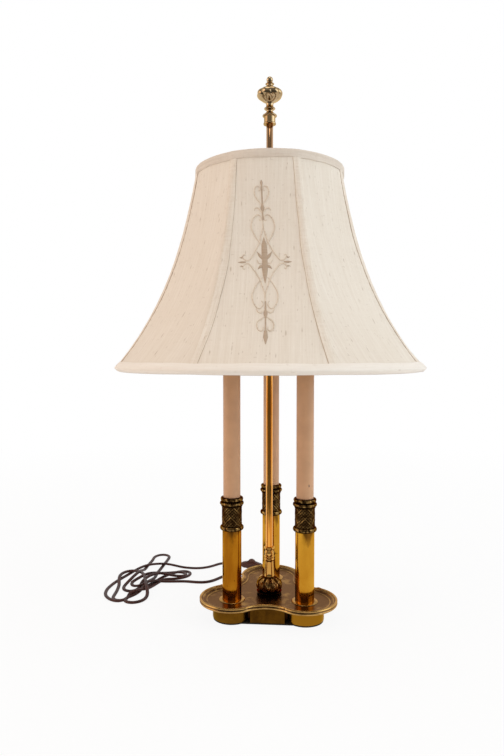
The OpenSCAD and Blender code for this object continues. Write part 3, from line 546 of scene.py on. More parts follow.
# three more passes of the hank, lying on those below
PASS_DOWN = laid((-205, 100, 12), (-208, 82, 14), (-213, 65, 9), (-217, 53, 4), (-216.4, 42.4), (-209.6, 34.6),
                 (-199.6, 34.6), (-193.2, 42.6, 4))
PASS_UP = laid((-191.5, 60, 12), (-184, 76, 16), (-173, 90, 13), (-161.5, 102, 7), (-153, 111.8, 3), (-143.2, 114),
               (-135, 107.4), (-135.6, 97, 4), (-145, 90.6, 6.5))
PASS_BACK = laid((-158, 91, 9), (-174, 89.5, 14), (-190, 82.5, 16), (-202.4, 73, 9), (-209, 62, 6),
                 (-204.6, 50, 5), (-193, 46.4, 8.4), (-184, 55, 12))
RUN_SHORT = laid((-168, 74), (-150, 75), (-131, 77), (-116, 75), (-103, 75), (-92, 80), (-83, 91), (-76, 101),
                 (-69, 107), (-60, 106, 2.8), (-54.4, 98, 3.4), (-54.4, 88, 4.5), (-56, 76, 6.8), (-56, 60, 8))
UP_FIRST = in_hank((15, -2.6), (28, -2.0), (45, -0.5), (66, 1.4))
DOWN = in_hank((64, 7.4), (48, 7.2), (37, 6.6, 4), (27, 4, 8), (18, 0, 9.5), (9, -4.5, 6.5))
UP_LAST = in_hank((9, 1.6), (19, 2.4), (28, 2.6, 4), (38, 1, 8), (48, -1.5, 9), (58, -4.8, 7), (70, -7.6, 3.4))
OVER = [(-176, 66, 10)]


def eased(path, step=1.6, spread=3.2):
    """Even points along a path, each drawn towards the mean of its neighbours; both ends stay."""
    gone = np.concatenate([[0], np.cumsum(np.linalg.norm(np.diff(path, axis=0), axis=1))])
    at = np.linspace(0, gone[-1], int(gone[-1] / step))
    path = np.stack([np.interp(at, gone, path[:, k]) for k in range(3)], axis=1)
    share = np.exp(-0.5 * (np.arange(-8, 9) / spread) ** 2)
    share /= share.sum()
    inner = np.stack([np.convolve(path[:, k], share, "valid") for k in range(3)], axis=1)
    path[8:-8] = inner
    return path


def make_cord():
    route = (RUN_EXIT + settle(RUN_LONG, 2) + settle(UP_FIRST) + settle(LOOP_RIGHT)
             + settle(DOWN) + settle(LOOP_RING) + settle(UP_LAST) + settle(LOOP_BACK) + settle(PASS_DOWN)
             + settle(PASS_UP) + settle(PASS_BACK) + settle(OVER) + settle(RUN_SHORT, 0, 3))
    path = eased(smooth_path(route, 1.6))
    section = []
    for side in (1, -1):
        for k in range(9):
            a = math.radians(-108 + 27 * k) + (0 if side > 0 else math.pi)
            section.append((side * STRAND_APART + STRAND_R * math.cos(a), STRAND_R * math.sin(a)))
    obj = sweep("power_cord", path, section, "cord", roll=lambda i: 0.16 * math.sin(i / 31))
    put(obj, "cord", "lamp", "cord", "cord_hank")


SWITCH_AT, SWITCH_TURN, WHEEL_Z = (-36, 157), -14, 8
PLUG_AT = (-56, 30)


def placed(points, at, degrees):
    c, s = cosd(degrees), sind(degrees)
    return [(at[0] + x * c - y * s, at[1] + x * s + y * c, z) for x, y, z in points]


def make_switch():
    """Two moulded halves with a slot for the ribbed wheel."""
    stations = [(-17, 2.9, 3.2, 7.4), (-16.2, 3.9, 1.7, 8.2), (-14.5, 4.5, 0.6, 8.8), (-12, 4.8, 0.2, 9.4),
                (-8.4, 5, 0.1, 10.2), (-7.4, 5, 0.1, 10.4), (-7.35, 5, 0.1, 10.4), (-4, 5, 0.1, 10.6),
                (0, 5, 0.1, 10.6)]
    stations += [(-x, w, low, high) for x, w, low, high in reversed(stations[:-1])]
    made = []
    for side, name in ((-1, "switch_front"), (1, "switch_back")):
        rings = []
        for x, wide, low, high in stations:
            inner = 2.3 if abs(x) < 7.38 else 0.12
            mid, half = (low + high) / 2, (high - low) / 2
            ring = [(inner, low + 0.05)]
            for k in range(13):
                a = math.radians(-90 + 15 * k)
                reach = abs(math.cos(a)) ** 0.45
                rise = math.copysign(abs(math.sin(a)) ** 0.45, math.sin(a))
                ring.append((inner + 0.05 + (wide - inner - 0.05) * reach, mid + half * rise))
            ring.append((inner, high - 0.05))
            rings.append(placed([(x, side * y, z) for y, z in ring], SWITCH_AT, SWITCH_TURN))
        obj = loft(name + "_shell", rings, MAT["switch"])
        made.append(put(sharpen(obj, 40), "switch", "lamp", name))
    rings = []
    for y, shrink in ((-2, 0.7), (-1.75, 0.1), (-0.6, 0), (0.6, 0), (1.75, 0.1), (2, 0.7)):
        ring = []
        for k in range(108):
            a = 2 * math.pi * k / 108
            r = 7 - shrink - 0.55 * max(0, math.cos(18 * a)) ** 2
            ring.append((r * math.cos(a), y, WHEEL_Z + r * math.sin(a)))
        rings.append(placed(ring, SWITCH_AT, SWITCH_TURN))
    made.append(put(loft("thumb_wheel", rings, MAT["wheel"]), "wheel", "dimmer_wheel", "switch_wheel"))
    return made


def make_plug():
    """A moulded plug lying flat, with grip ribs and a neck for the cord."""
    rings = []
    for y, wide, high in ((0, 11, 6.6), (0.5, 11.8, 7.6), (2, 12, 7.95), (9, 12, 8), (11, 11.6, 7.9),
                          (13.5, 10, 7.4), (14, 9.4, 6.9), (15, 9.8, 7.1), (16, 8.9, 6.7), (17, 9.2, 6.8),
                          (18, 8.2, 6.4), (19, 8.5, 6.5), (20, 7.4, 6.1), (22, 7, 5.8), (25, 6.2, 5.2),
                          (28, 5.4, 4.6), (29.6, 5, 4.2), (30, 4.4, 3.6)):
        ring = []
        for k in range(36):
            a = math.radians(10 * k)
            bow = [math.copysign(abs(v) ** 0.55, v) for v in (math.cos(a), math.sin(a))]
            ring.append((PLUG_AT[0] + wide * bow[0], PLUG_AT[1] + y, 8 + high * bow[1]))
        rings.append(ring)
    return put(sharpen(loft("plug_shell", rings, MAT["switch"]), 50), "switch", "lamp", "plug_body")


SWITCH = make_switch()
PLUG = make_plug()
make_cord()

# ---- base ----

LOBE_ANGLES = (210, 330, 90)
CANDLE_R = 95 / math.sqrt(3)
LOBE_R, NOTCH_R = 42.5, 38
NOTCH_AWAY = CANDLE_R / 2 + math.sqrt((LOBE_R + NOTCH_R) ** 2 - 47.5 ** 2)
WALL_OUT = 20.5
FLOOR_Z = 24
CANDLES = {side: polar(CANDLE_R, a) for side, a in zip(("left", "right", "rear"), LOBE_ANGLES)}


def trefoil(out, z, cut=0.0):
    """The tray's outline, grown outwards, at a height; cut moves its three hollow sides in and down."""
    points = []
    reach = math.degrees(math.atan2(47.5, NOTCH_AWAY - CANDLE_R / 2))
    for lobe in LOBE_ANGLES:
        cx, cy = polar(CANDLE_R, lobe)
        turn = 60 + reach
        for k in range(64):
            end = cut * 0.25 if k < 2 or k > 61 else 0
            x, y = polar(LOBE_R + out + end, lobe - turn + 2 * turn * k / 64)
            points.append((cx + x, cy + y, z + end))
        cx, cy = polar(NOTCH_AWAY, lobe + 60)
        for k in range(26):
            x, y = polar(NOTCH_R - out + cut, lobe + 240 + reach - 2 * reach * k / 26)
            points.append((cx + x, cy + y, z - 0.15 * cut))
    return points


def shrunk(ring, share, z):
    return [(x * share, y * share, z) for x, y, _ in ring]


TRAY_RIM = [(-3.4, 22.05, 0), (-1.7, 22.1, 0.1), (-0.7, 22.5, 0.5), (-0.15, 23.2, 0.8), (-0.05, 24, 0.75),
            (-0.4, 24.7, 0.5), (-1.0, 25.1, 0), (-1.15, 25.45, 0), (-0.85, 25.8, 0.1), (-0.3, 26.2, 0.6),
            (0, 26.8, 0.8), (-0.1, 27.5, 0.9), (-0.6, 28.15, 1), (-1.35, 28.5, 1.1), (-2.1, 28.35, 1),
            (-2.7, 27.8, 0.8), (-3.1, 27.2, 0.4), (-3.5, 26.9, 0.1), (-4.0, 27.0, 0.2), (-4.7, 27.15, 0.55),
            (-5.3, 26.8, 0.5), (-5.9, 26.2, 0.3), (-6.8, 25.5, 0.1), (-7.9, 24.9, 0), (-9.0, 24.6, 0.2),
            (-9.5, 24.8, 0.8), (-10.0, 24.6, 0.5), (-10.5, 24.25, 0), (-12, 24.1, 0.05), (-16, FLOOR_Z, 0.1)]


def make_tray():
    rings, wear_and_light = [shrunk(trefoil(-16, 0), 0.02, 22.05)], [0]
    for out, z, worn_and_lit in TRAY_RIM:
        rings.append(trefoil(out, z, 1.2 if -3.2 < out and z > 24.9 else 0.5 if z > 22.3 and out > -3.2 else 0))
        wear_and_light.append(worn_and_lit)
    for share in (0.8, 0.6, 0.4, 0.2, 0.03):
        rings.append(shrunk(trefoil(-16, 0), share, FLOOR_Z))
        wear_and_light.append(0.12)
    count = len(rings[0])
    tray = loft("dished_tray", rings, MAT["tray"], wear_and_light=[[value] * count for value in wear_and_light])
    put(sharpen(tray, 60), "tray", "lamp", "base_tray")


FOOT_OUT, FOOT_TURN = 25.2, 60
PANEL_HALF, SLOT_IN, SLOT_OUT = 22, 11.4, 26
PAINTED_FOOT_LIGHT = (0.45, 0.95, 0.7)       # by lobe: painted light on each foot, brightest on the right towards the key light


def plinth_ring(out, z):
    """Three round feet and, between each two, a panel with a slot at either end of it."""
    points = []
    for lobe in LOBE_ANGLES:
        cx, cy = polar(CANDLE_R, lobe)
        turn = 60 + FOOT_TURN
        for k in range(49):
            x, y = polar(FOOT_OUT + out, lobe - turn + 2 * turn * k / 48)
            points.append((cx + x, cy + y, z))
        mx, my = polar(CANDLE_R / 2, lobe + 60)
        nx, ny = polar(1, lobe + 60)
        half = PANEL_HALF + out
        side = [(-SLOT_OUT, SLOT_IN), (-half, SLOT_IN), (-half, WALL_OUT)]
        side += [(half * t, WALL_OUT) for t in (-0.6, -0.2, 0.2, 0.6)]
        side += [(half, WALL_OUT), (half, SLOT_IN), (SLOT_OUT, SLOT_IN)]
        for t, n in side:
            points.append((mx + nx * (n + out) - ny * t, my + ny * (n + out) + nx * t, z))
    return points


def plinth_painted_light():
    """Painted light and shade, in the order of plinth_ring's points: feet brightened by lobe, panels darkened and
    slots made dark as painted shade.
    """
    row = []
    for lobe in PAINTED_FOOT_LIGHT:
        row += [0.1] + [lobe] * 47 + [0.1] + [0, 0] + [0.3] * 6 + [0, 0]
    return row


def make_plinth():
    wall = [(-2.5, 1.5), (-1.2, 1.5), (-0.5, 1.8), (-0.1, 2.5), (0, 3.6), (-0.05, 10), (-0.15, 18),
            (-0.35, 21.3), (-0.8, 21.95), (-4, 21.98)]
    rings = [plinth_ring(d, z) for d, z in wall]
    rings.append(shrunk(plinth_ring(-6, 0), 0.03, 21.98))
    rings = [shrunk(plinth_ring(-6, 0), 0.03, 18), plinth_ring(-2.6, 18)] + rings
    # the brightness attribute here carries painted light and shade, not wear
    plinth = loft("cast_plinth", rings, MAT["plinth"], wear_and_light=[plinth_painted_light()] * len(rings))
    put(sharpen(plinth, 40), "plinth", "lamp", "base_plinth")


def make_weight():
    (_, _, low), (_, _, high) = box_mm("base_weight")
    rings = [shrunk(plinth_ring(-5, 0), 0.03, low), plinth_ring(-5, low), plinth_ring(-5, high),
             shrunk(plinth_ring(-5, 0), 0.03, high)]
    weight = loft("iron_weight", rings, MAT["iron"])
    put(sharpen(weight, 40), "iron", "lamp", "base_weight")


make_tray()
make_plinth()
make_weight()

# ---- candles ----

COLLAR_R = 13
BAND = (122.6, 147.2)
DIAMONDS, FINE = 5, 20
RIDGE = 0.5


def lumps(a, z):
    return wave(a, (0.05, 9, z * 0.4), (0.045, 14, z * 0.7), (0.03, 23, 1))


def weave_height(a, z):
    """How high the lattice stands, from 0 to 1: a fine diamond mesh with a few stronger lines."""
    u, v = (a - 1.5 * math.pi) * COLLAR_R, z - 135
    high = 0
    for count, share, wide in ((DIAMONDS, 1, 0.5), (FINE, 0.66, 0.45)):
        period = 2 * math.pi * COLLAR_R / count
        for along in (u + v, u - v):
            d = abs((along + period / 2) % period - period / 2)
            high = max(high, share * math.exp(-(d / wide) ** 2))
    return high


def lattice(a, share, r, z):
    if r < 12.55:
        return 0
    if not BAND[0] < z < BAND[1]:
        return lumps(a, z)
    return RIDGE * weave_height(a, z) - 0.3 + wave(a, (0.04, 17, z))


def collar_rubbed(a, r, z):
    if BAND[0] < z < BAND[1]:
        return 0.66 * weave_height(a, z) ** 1.5
    crest = max(0.0, (r - 14.4) / 1.4) if z < 121 or 149 < z < 155 else max(0.0, (r - 13.6) / 1.5)
    return min(0.45, 0.45 * crest) * (1 + 8 * lumps(a, z))


def make_candle(side):
    at = CANDLES[side]
    tube = [(11.5, FLOOR_Z), (12.5, FLOOR_Z), (12.5, 60), (12.5, 100), (12.5, 117), (11.5, 117),
            (11.5, FLOOR_Z)]
    # the left tube takes the darker copy of the brass, painted shade
    tone = "left_tube_shade" if side == "left" else "tube"
    turned("brass_tube_" + side, tube, tone, "lamp", ["candle_tube_" + side], at, closed=True)
    rows = 84
    outside = [(12.9, 116.2)] + arc(13.1, 119.4, 2.4, -80, 78, 12, 2.9) + [(COLLAR_R, 122.5)]
    outside += [(COLLAR_R, BAND[0] + (BAND[1] - BAND[0]) * k / rows) for k in range(rows + 1)]
    outside += arc(13.1, 148.1, 0.8, -70, 75, 6, 0.7) + [(13, 149)]
    outside += arc(13.1, 151.6, 2.5, -75, 72, 10) + [(13.2, 154.6)] + arc(13.1, 157.2, 1.7, -80, 90, 10, 2.4)
    outside += [(12.6, 159.9), (11.9, 159.8), (11.4, 159.4)]
    inner = [(11.3, 158.5), (11.3, 120), (12.52, 119.5), (12.52, 116.3), (12.9, 116.2)]
    turned("lattice_collar_" + side, outside + inner, "antique", "lamp", ["candle_collar_" + side], at,
           steps=240, relief=lattice, rubbed=collar_rubbed)
    top = 340.5
    sleeve = [(10.3, 119.6), (11.2, 119.6), (11.2, 200), (11.2, 280), (11.2, top - 0.4), (10.9, top),
              (10.5, top), (10.3, top - 0.4), (10.3, 119.6)]
    tone = "chipped" if side == "right" else "ivory"
    turned("candle_" + side, sleeve, tone, "lamp", ["candle_sleeve_" + side], at, closed=True)
    ring = [(12.5, FLOOR_Z), (16.9, FLOOR_Z), (17.1, 24.35), (16.7, 24.75), (15.6, 25), (13.6, 25.15), (12.5, 25.2)]
    turned("seat_ring_" + side, ring, "tray", "lamp", ["candle_seats"] if side == "left" else [], at,
           rubbed=lambda a, r, z: 0.7 if r > 12.6 else 0.2)


for side in SIDES:
    make_candle(side)

# ---- centre ----

LEAVES = 10


def leaf(a, z, low, high, shift):
    """One row of leaves: how far each stands out, 1 at the middle of its tip."""
    along = (z - low) / (high - low)
    if not 0 < along < 1:
        return 0.0
    x = abs(((LEAVES * a / (2 * math.pi) + shift) % 1) * 2 - 1)
    width = 0.98 * math.sqrt(max(0.0, 1 - along ** 2.2))
    return math.sqrt(along) * max(0.0, 1 - (x / max(width, 0.05)) ** 4) * (1 - 0.3 * math.exp(-(x / 0.1) ** 2))


def knop_leaf(a, z):
    return max(leaf(a, 71 - z, 27.0, 39, 0.0), leaf(a, 71 - z, 33.5, 43.5, 0.5),
               leaf(a, z, 35.5, 45.2, 0.25))


def knop_leaves(a, share, r, z):
    return 1.7 * knop_leaf(a, z) - 1.0 if r > 10 else 0


def make_centre():
    saucer = [(6, 24), (9.5, 24), (11, 24.3), (14.5, 25.2), (16.6, 25.9), (16.9, 26.5), (16.4, 26.9),
              (14, 26.6), (10, 26.5), (6, 26.5)]
    turned("knop_saucer", saucer, "knop", "lamp", ["saucer"], rubbed=lambda a, r, z: 0)
    knop = [(6, 26.5)] + [(11.4 + 5.9 * cosd(a), 34.8 + 8.2 * sind(a))
                          for a in range(-88, 60, 3)]
    knop += [(12.6, 42.9), (10.6, 44.2), (8.7, 45.2), (7.6, 46.6), (6, 46.8)]
    turned("leaf_knop", knop, "knop", "lamp", ["knop"], steps=200, relief=knop_leaves,
           rubbed=lambda a, r, z: 0.9 * knop_leaf(a, z) ** 2.5)
    z = 41.5
    column = [(3.3, z), (7, z), (7.4, z + 4), (6.9, z + 5.5), (6.5, z + 10), (5.9, z + 18), (5.5, z + 24),
              (5.4, z + 25.2), (5.8, z + 26.2), (6.4, z + 27.2), (6.5, z + 28.2), (6.1, z + 29.2), (5.1, z + 29.9),
              (5.1, z + 30.3)]
    column += arc(6, z + 31.6, 1, -75, 80, 7, 1.1)
    column += [(5.7, z + 32.9), (6.2, z + 35.4), (6.1, z + 37.4), (5.2, z + 39.4), (5.15, z + 40.6),
               (5.9, z + 41.6)] + arc(6.1, z + 43.2, 1, -75, 85, 7, 1.5) + [(5.2, z + 45), (4.5, z + 45)]
    turned("turned_column", column, "bright", "lamp", ["column"])
    turned("lamp_rod", [(3.2, 80.5), (4.5, 80.5), (4.5, 200), (4.5, 330), (4.5, 480), (4.5, 653.2), (4.2, 653.5),
                        (3.2, 653.5), (3.2, 80.5)], "rod", "lamp", ["rod"], closed=True)


make_centre()

# ---- finial ----


FLUTES = 8
BALL = (675, 693.6)


def gadroon(a, share, r, z):
    if not BALL[0] < z < BALL[1]:
        return 0
    swell = math.sin(math.pi * (z - BALL[0]) / (BALL[1] - BALL[0])) ** 0.7
    return swell * (1.7 * abs(math.sin(FLUTES / 2 * (a + math.pi / FLUTES + (z - BALL[0]) * 0.025))) ** 0.7 - 1.3)


def make_finial():
    z = 646.3
    cap = [(4.5, z), (8.1, z), (8.3, z + 0.8), (8.1, z + 1.6), (7.5, z + 2), (7.45, z + 9.4), (8.6, z + 9.9)]
    cap += arc(8.3, z + 11.1, 1.2, -70, 80, 6) + [(7.4, z + 13), (6.2, z + 14.3), (4.6, z + 15.4), (4.4, z + 16),
                                                  (2.6, z + 16)]
    turned("finial_socket", cap, "finial", "lamp", ["finial_cap"])
    low = [(2.4, 655.5), (2.45, 661.5), (4.3, 661.5), (4.2, 664), (5.6, 665.2), (7.0, 666), (7.3, 666.7), (6.9, 667.4),
           (5.6, 668.2), (4.9, 669.4), (4.7, 671), (4.9, 672.8), (5.6, 674.2), (7.2, 675.4)]
    ball = [(9.8, 676.8), (12.6, 678.8), (14.8, 680.8), (16.1, 682.8), (16.7, 684.8), (16.5, 686.6), (15.6, 688.4),
            (13.8, 690), (11.2, 691.4), (8.2, 692.6), (5.8, 693.5)]
    ball = [tuple(p[:2]) for p in smooth_path([(*p, 0) for p in ball], 0.9)]
    high = [(4.6, 694.9), (4.3, 696.2), (4.5, 697.4), (5.6, 698), (5.8, 698.5), (5.4, 699), (3.4, 699.6), (2.6, 700.2)]
    knob = [(4.2 * cosd(a), 703.8 + 4.2 * sind(a)) for a in range(-54, 89, 9)]
    turned("gadrooned_finial", low + ball + high + knob + [(0.05, 708)], "finial", "finial_top", ["finial"],
           steps=200, relief=gadroon)


make_finial()

# ---- shade ----

SHADE_TOP, SHADE_H = 583.5, 256
TOP_R, BOTTOM_R = 96.1, 201.1
PANELS = 8
HALF = 180 / PANELS
FRONT = 270
CLOTH_T, WIRE_R = 1.2, 1.5
TRIM_S = 9.6 / SHADE_H
RIB_IN = CLOTH_T + 1.2 * (1 + math.tan(math.radians(HALF))) + 0.3
RING_IN = RIB_IN + 0.9 * WIRE_R


def rib_r(s):
    return TOP_R + (BOTTOM_R - TOP_R) * 0.5 * (s + s ** 3)


def cloth_base(angle, s):
    u = ((angle - FRONT + HALF) % (2 * HALF)) / HALF - 1
    inside = min(1.0, max(0.0, s))
    slack = max(0.0, math.sin(math.pi * inside ** 0.8)) ** 0.85
    chord = cosd(HALF) / cosd(HALF * u)
    r = rib_r(s) * (1 - slack * (1 - chord))
    a = math.radians(angle)
    return np.array((r * math.cos(a), r * math.sin(a), SHADE_TOP - SHADE_H * s))


def on_cloth(angle, s, out=0.0):
    """A point on the shade's outer surface, or standing out from it."""
    p = cloth_base(angle, s)
    if out:
        down = cloth_base(angle, min(1, s + 0.004)) - cloth_base(angle, max(0, s - 0.004))
        round_ = cloth_base(angle + 0.5, s) - cloth_base(angle - 0.5, s)
        n = np.cross(down, round_)
        p = p + n / np.linalg.norm(n) * out
    return p


def pucker(angle, s):
    """Small gathers beside the seams and under the trims, in millimetres outwards."""
    from_seam = (1 - abs(((angle - FRONT + HALF) % (2 * HALF)) / HALF - 1)) * math.radians(HALF) * rib_r(s)
    panel = round((angle - FRONT) / (2 * HALF))
    down = s * SHADE_H
    near = math.exp(-((from_seam - 6) / 7) ** 2)
    return 0.22 * near * wave(down, (0.6, 0.75, 3 * panel), (0.4, 0.43, panel)) \
        + 0.12 * wave(down * 0.05 + panel, (1, 1, 0)) * math.sin(math.radians(angle) * 24)


def make_sheet(name, key, out, rows, per_panel, ripple):
    rings, coords = [], []
    columns = PANELS * per_panel
    for i in range(rows + 1):
        s = i / rows
        ring = []
        for j in range(columns):
            angle = FRONT - HALF + 2 * HALF * j / per_panel
            lift = out + (pucker(angle, s) if ripple and 0 < s < 1 else 0)
            ring.append(on_cloth(angle, s, lift))
            u = ((angle - FRONT + HALF) % (2 * HALF)) - HALF
            coords.append((math.radians(u) * rib_r(s) + 300 * (j // per_panel), s * SHADE_H))
        rings.append(ring)
    obj = loft(name, rings, MAT[key], ends=False)
    put_uv(obj, coords)
    return obj


TAPE_SWAY = {0: (-1.5, -1, -0.7), 7: (-1.3, 4.5, 4.2)}     # tape: how far it strays at top, middle and bottom


def make_tape(k):
    """A folded tape over one seam."""
    seam = FRONT + HALF + 2 * HALF * k
    profile = [(-5, 0.02), (-4.9, 0.45), (-4.55, 0.62), (-4.1, 0.7), (-2, 0.78), (0, 0.72), (2, 0.78), (4.1, 0.7),
               (4.55, 0.62), (4.9, 0.45), (5, 0.02)]
    # picks which edge of the tape takes the painted shadow line
    towards = 1 if cosd(seam) < 0 else -1
    aside = TAPE_SWAY.get(k, (0, 0, 0))
    rings, coords = [], []
    rows = 110
    for i in range(rows + 1):
        s = 0.006 + 0.988 * i / rows
        sway = wave(s, (0.35, 9, k), (0.2, 23, 2 * k)) + float(np.interp(s, (0.05, 0.5, 0.95), aside))
        ring = []
        for across, out in profile:
            wide = across * (1 + 0.03 * wave(s, (1, 31, 3 * k)))
            angle = seam + math.degrees((wide + sway) / rib_r(s))
            ring.append(on_cloth(angle, s, out + 0.05 * wave(s, (1, 90, across + k))))
            coords.append((across * towards, s * SHADE_H + 400 * k))
        rings.append(ring)
    obj = loft("seam_tape_%d" % (k + 1), rings, MAT["tape"], closed=False, ends=False)
    put_uv(obj, coords)
    return put(obj, "tape", "shade")


def make_trim(name, low_edge, node):
    """A bias tape folded over the ring wire; section points are (share of trim height, out, lift)."""
    section = [(1, 0.1, 0), (1, 0.75, 0), (0.95, 1.0, 0), (0.7, 1.25, 0), (0.35, 1.35, 0), (0.1, 1.35, 0.2),
               (0.02, 1.0, 0.5), (0, 0, 0.6), (0, -2.2, 0.65), (0, -4.6, 0.62), (0.05, -6, 0.2), (0.18, -6.5, 0),
               (0.32, -6.3, 0), (0.42, -5.4, 0)]
    rings, coords = [], []
    steps = 288
    length = 0
    for n, (share, out, lift) in enumerate(section):
        share *= 0.8 if low_edge and n < 4 else 1
        ring = []
        for j in range(steps):
            angle = 360 * j / steps
            a = math.radians(angle)
            edge = share * TRIM_S * (1 + 0.03 * wave(a, (1, 11, 0), (0.7, 27, 1))) if n < 4 else share * TRIM_S
            puff = 0.12 * wave(a, (1, 19, n), (1, 41, 2)) if 1 < n < 7 else 0
            s = 1 - edge if low_edge else edge
            p = on_cloth(angle, s, out + puff)
            ring.append(p + np.array((0, 0, -lift if low_edge else lift)))
            coords.append((length, a * (BOTTOM_R if low_edge else TOP_R)))
        rings.append(ring)
        if n + 1 < len(section):
            step = section[n + 1]
            length += math.hypot((step[0] - share) * TRIM_S * SHADE_H, step[1] - out, step[2] - lift)
    key = "hem" if low_edge else "trim"
    obj = loft(name, rings, MAT[key], ends=False)
    put_uv(obj, coords)
    return put(obj, key, "shade", node)


LEAN = [(-97, 4.7), (0, 0.7), (44, -2.1), (97, -4.9)]    # (height, sideways) of the ornament's axis
ORNAMENT_Z = 450
THREAD = 0.85


def on_panel(x, dz, out):
    """A point of the ornament on the front panel, x sideways from its leaning axis and dz up."""
    x *= 0.957
    dz *= 0.965 if dz < 0 else 0.99
    x += float(np.interp(dz, [a for a, _ in LEAN], [b for _, b in LEAN]))
    s = (SHADE_TOP - ORNAMENT_Z - dz) / SHADE_H
    angle = 0.0
    for _ in range(3):
        r = np.linalg.norm(cloth_base(FRONT + angle, s)[:2])
        angle = math.degrees(math.asin(x / r))
    return on_cloth(FRONT + angle, s, out)


def stroke(points, halves, raise_=0.75, step=0.8):
    """A raised line of satin stitch; halves are its half widths, spread evenly over its length."""
    flat = smooth_path([(x, z, 0) for x, z in points], step)[:, :2]
    n = len(flat)
    ahead = np.gradient(flat, axis=0)
    rows, coords = [], []
    gone = 0
    for i, (p, t) in enumerate(zip(flat, ahead)):
        t = t / (np.linalg.norm(t) or 1)
        side = np.array((-t[1], t[0]))
        half = float(np.interp(i / (n - 1) * (len(halves) - 1), range(len(halves)), halves))
        row = []
        for k in range(7):
            across = -1 + k / 3
            q = p + side * across * half
            row.append(on_panel(q[0], q[1], 0.02 + raise_ * math.sqrt(max(0, 1 - across ** 2)) * min(1, half)))
            coords.append((gone, across * half))
        rows.append(row)
        if i + 1 < n:
            gone += float(np.linalg.norm(flat[i + 1] - p))
    return rows, coords


def mirrored(points):
    return [(-x, z) for x, z in points]


HALF_STROKES = [
    # upper small heart, volute, large heart, crossing arm
    ([(0, 67), (4.5, 73), (8, 79), (8.8, 83.6), (7.6, 88.6), (4.5, 90.5), (2.4, 88.8), (2.2, 85.5), (3.6, 84.6)], 1),
    ([(0, 57), (2.4, 61), (5.5, 64), (8.5, 63.6), (10, 61)], 1),
    ([(4.6, 50.4), (3.4, 48.6), (1.9, 50), (2.6, 54), (6.6, 55.8), (11.8, 50.4), (14.1, 42.4), (12, 34.4),
      (7.1, 24.9), (2.8, 19.5)], 1),
    ([(0, 50), (0.3, 45), (1, 38), (3, 30.5), (5, 23), (8.3, 16), (12.8, 8), (18, 1.5), (21.3, 0.8), (24.5, 2.8),
      (26, 6), (24.8, 8), (22.8, 6.8)], 1),
    # lower crossing arm, large loop, volute, small heart
    ([(0, -50), (0.3, -45), (1, -38), (3, -31.5), (5, -24.5), (8.3, -18), (12.8, -10.5), (18, -4), (21.3, -3),
      (24.5, -4.8), (26, -8), (24.6, -9.8), (22.8, -8.6)], 1),
    ([(4.6, -48.6), (3.2, -50), (3, -54), (7, -57.5), (12.2, -53), (15, -43), (12.4, -34), (7.4, -25.5),
      (2.8, -20)], 1),
    ([(0, -58), (2.6, -60.6), (5.5, -62.4), (8.6, -61), (10.4, -57.6)], 1),
    ([(0, -66), (4.5, -69.5), (8.6, -73), (9.6, -77.5), (7.8, -82), (4.6, -83.2), (2.2, -81), (2.8, -78.6)], 1),
    # hooks beside the spear
    ([(3, -2), (6.5, -3), (9.2, 1.4)], 0.9),
]
# the spear and the leaves above and below it: heights and half widths
SPINE = [([98, 95, 92], [0.3, 1.7, 0.9]), ([94, 80, 68], [0.9, 0.8, 0.8]), ([71, 66, 57], [0.4, 2.5, 0.9]),
         ([58, 54, 49], [0.9, 0.9, 0.9]), ([28.5, 20, 8, 0, -12, -20, -27], [0.3, 3.2, 3.6, 3.2, 3.7, 2.5, 0.3]),
         ([-49, -54, -59], [0.9, 0.9, 1.2]), ([-57, -64, -70], [1, 2.5, 0.5]), ([-69, -76, -84], [0.8, 0.8, 0.9]),
         ([-83, -90, -98], [1.8, 2.8, 0.3])]
SIDE_LEAVES = [
    ([(2, 3), (5.4, 6.2), (8.8, 11.4)], [1.8, 1.7, 0.2]),
    ([(2, -6), (5.5, -7), (8.4, -10)], [1.9, 1.7, 0.2]),
    ([(22.5, -1), (27.6, -1.2), (32, -1.2)], [0.8, 1.3, 0.2]),
    ([(25.6, 5.4), (27.6, 4.2), (29.8, 5)], [0.9, 0.8, 0.2]),
    ([(25.6, -7), (27.6, -6), (29.8, -6.6)], [0.9, 0.8, 0.2]),
]


def make_embroidery():
    leaves = [([(0, z) for z in heights], halves, 0.85) for heights, halves in SPINE]
    lines = []
    for side in (list, mirrored):
        lines += [(side(p), [0.5 * w, THREAD * w, THREAD * w, THREAD * w, 0.5 * w], 1.1) for p, w in HALF_STROKES]
        leaves += [(side(p), h, 0.8) for p, h in SIDE_LEAVES]
    return [stitch("embroidered_scroll", "thread", lines), stitch("embroidered_leaves", "leaf_thread", leaves)]


def stitch(name, key, jobs):
    verts, faces, coords = [], [], []
    for points, halves, high in jobs:
        rows, uv = stroke(points, halves, high)
        start, n = len(verts), len(rows[0])
        verts += [p for row in rows for p in row]
        coords += uv
        for i in range(len(rows) - 1):
            for j in range(n - 1):
                a = start + i * n + j
                faces.append((a, a + 1, a + n + 1, a + n))
    obj = add_mesh(name, verts, faces, MAT[key])
    put_uv(obj, coords)
    return put(obj, key, "shade")


def make_wires():
    """The frame inside the cloth: two rings and eight ribs."""
    for name, s in (("top_ring_wire", WIRE_R / SHADE_H), ("bottom_ring_wire", 1 - WIRE_R / SHADE_H)):
        path = [(*polar(rib_r(s) - RING_IN, 2.5 * k), SHADE_TOP - SHADE_H * s) for k in range(144)]
        put(sweep(name, path, circle(WIRE_R), "wire", loop=True), "wire", "shade",
            *(["shade_wires"] if s < 0.5 else []))
    for k in range(PANELS):
        angle = FRONT + HALF + 2 * HALF * k
        path = [(*polar(rib_r(i / 40) - RIB_IN, angle), SHADE_TOP - SHADE_H * i / 40) for i in range(41)]
        put(sweep("rib_wire_%d" % (k + 1), path, circle(1.2), "wire"), "wire", "shade")


